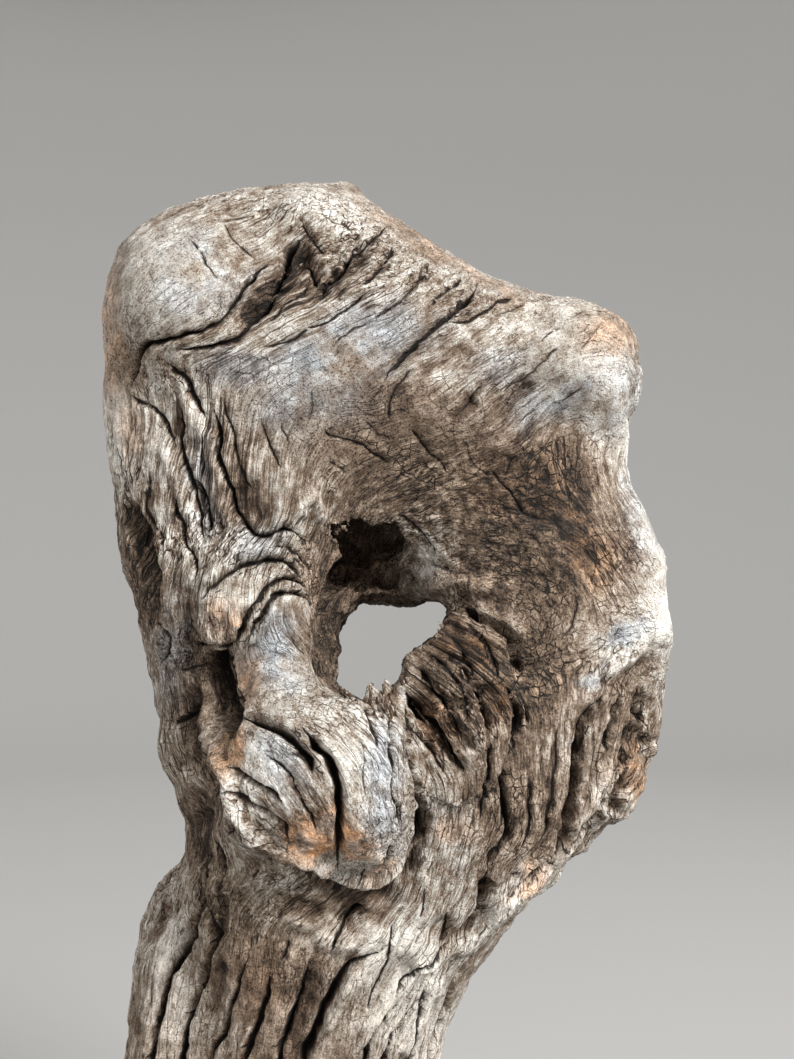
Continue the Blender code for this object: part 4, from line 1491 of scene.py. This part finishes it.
class DRIFTWOOD_OT_carve_wood(bpy.types.Operator):
    """Carve the driftwood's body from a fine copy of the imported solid"""

    bl_idname = "driftwood.carve_wood"
    bl_label = "Carve Wood"

    def execute(self, context):
        shape = context.scene.driftwood_shape
        wood = blank_wood(shape.voxel * (1.0))
        surface = Surface(wood.data)
        surface.press_swells()
        surface.press_furrows()
        surface.raise_ridges()
        surface.weather(shape.relief)
        surface.tear()
        surface.crackle()
        surface.press_cracks(shape.crack_depth)
        surface.write(wood.data)
        thin_out(wood, shape.most_triangles)
        wood.data.materials.clear()
        wood.data.materials.append(weathered_wood(context.scene.driftwood_finish))
        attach(wood, BODY)
        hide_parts(NODE)
        return {"FINISHED"}


class DRIFTWOOD_OT_set_splinters(bpy.types.Operator):
    """Set torn splinters along the broken edges of the carved wood"""

    bl_idname = "driftwood.set_splinters"
    bl_label = "Set Splinters"

    def execute(self, context):
        scene = context.scene
        splinters = splinter_guides(bpy.data.objects["driftwood_body"])
        tree, names = splinter_tree()
        grow = splinters.modifiers.new("splinters", "NODES")
        grow.node_group = tree
        grow[names["Spacing"]] = scene.driftwood_splinters.spacing
        grow[names["Unevenness"]] = scene.driftwood_splinters.unevenness
        grow[names["Seed"]] = scene.driftwood_splinters.seed
        splinters.data.materials.append(torn_fibre(scene.driftwood_finish))
        grow[names["Material"]] = splinters.data.materials[0]
        make_real(splinters)
        splinters.data.shade_smooth()
        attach(splinters, BODY)
        return {"FINISHED"}


def studio_bowl(look):
    """A floor that curves up into a round wall, so that no view shows an edge."""
    bm = bmesh.new()
    flat = BOWL_RADIUS - BOWL_CURVE
    profile = [(BOWL_MIDDLE, 0.0), (flat, 0.0)]
    for i in range(1, BOWL_STEPS + 1):
        turn = math.pi / 2 * i / BOWL_STEPS
        profile.append((flat + BOWL_CURVE * math.sin(turn), BOWL_CURVE - BOWL_CURVE * math.cos(turn)))
    profile.append((BOWL_RADIUS, BOWL_HEIGHT))
    rings = []
    for radius, z in profile:
        ring = []
        for i in range(BOWL_SEGMENTS):
            angle = 2 * math.pi * i / BOWL_SEGMENTS
            ring.append(bm.verts.new((radius * math.cos(angle), radius * math.sin(angle), z)))
        rings.append(ring)
    bm.faces.new(rings[0])
    bridge(bm, rings)
    bmesh.ops.recalc_face_normals(bm, faces=bm.faces)
    mesh = mesh_of(bm, "studio_floor")
    mesh.shade_smooth()
    mesh.materials.append(plain_floor(look))
    return new_object("studio_floor", mesh)


def lamp(name, place, size, power):
    """A round soft lamp at a place from the middle of the hole, aimed at it."""
    light = bpy.data.lights.new(name, "AREA")
    light.shape = "DISK"
    light.size = size
    light.energy = power
    obj = bpy.data.objects.new(name, light)
    bpy.context.scene.collection.objects.link(obj)
    obj.location = HOLE + place
    obj.rotation_euler = (-place).to_track_quat("-Z", "Y").to_euler()


class DRIFTWOOD_OT_set_stage(bpy.types.Operator):
    """Set the floor, the lights and the camera"""

    bl_idname = "driftwood.set_stage"
    bl_label = "Set Stage"

    def execute(self, context):
        look = context.scene.driftwood_stage
        studio_bowl(look)
        lamp("key_lamp", KEY_PLACE, KEY_SIZE, look.key_power)
        lamp("fill_lamp", FILL_PLACE, FILL_SIZE, look.fill_power)
        lamp("back_lamp", BACK_PLACE, BACK_SIZE, look.back_power)
        world = bpy.data.worlds.new("studio_air")
        world.use_nodes = True
        air = world.node_tree.nodes["Background"]
        air.inputs["Strength"].default_value = look.air_light
        air.inputs["Color"].default_value = (1.0, 1.0, 1.0, 1.0)
        context.scene.world = world
        context.scene.view_settings.view_transform = "Standard"
        camera = bpy.data.cameras.new("camera")
        camera.lens = LENS_MM
        camera.sensor_width = SENSOR_MM
        camera.sensor_fit = "AUTO"
        obj = bpy.data.objects.new("camera", camera)
        context.scene.collection.objects.link(obj)
        obj.location = HOLE + Vector(EYE) * MM
        obj.rotation_euler = (math.pi / 2, 0.0, 0.0)
        context.scene.camera = obj
        return {"FINISHED"}


class DRIFTWOOD_PT_panel(bpy.types.Panel):
    """Lists what the driftwood is made of"""

    bl_label = "Driftwood"
    bl_idname = "DRIFTWOOD_PT_panel"
    bl_space_type = "VIEW_3D"
    bl_region_type = "UI"
    bl_category = "Driftwood"

    def draw(self, context):
        scene = context.scene
        for operator, settings in STEPS:
            box = self.layout.box()
            box.operator(operator)
            for name in settings:
                group = getattr(scene, name)
                for key in group.__annotations__:
                    box.prop(group, key)


STEPS = (
    ("driftwood.carve_wood", ("driftwood_shape", "driftwood_finish")),
    ("driftwood.set_splinters", ("driftwood_splinters",)),
    ("driftwood.set_stage", ("driftwood_stage",)),
)
GROUPS = (
    ("driftwood_shape", DriftwoodShape), ("driftwood_splinters", DriftwoodSplinters),
    ("driftwood_finish", DriftwoodFinish), ("driftwood_stage", DriftwoodStage),
)
CLASSES = (
    *(group for _, group in GROUPS),
    DRIFTWOOD_OT_carve_wood, DRIFTWOOD_OT_set_splinters, DRIFTWOOD_OT_set_stage, DRIFTWOOD_PT_panel,
)


def register():
    for cls in CLASSES:
        bpy.utils.register_class(cls)
    for name, group in GROUPS:
        setattr(bpy.types.Scene, name, PointerProperty(type=group))


def unregister():
    for name, _ in GROUPS:
        delattr(bpy.types.Scene, name)
    for cls in reversed(CLASSES):
        bpy.utils.unregister_class(cls)


def main():
    register()
    bpy.ops.driftwood.carve_wood()
    bpy.ops.driftwood.set_splinters()
    bpy.ops.driftwood.set_stage()


if __name__ == "__main__":
    main()
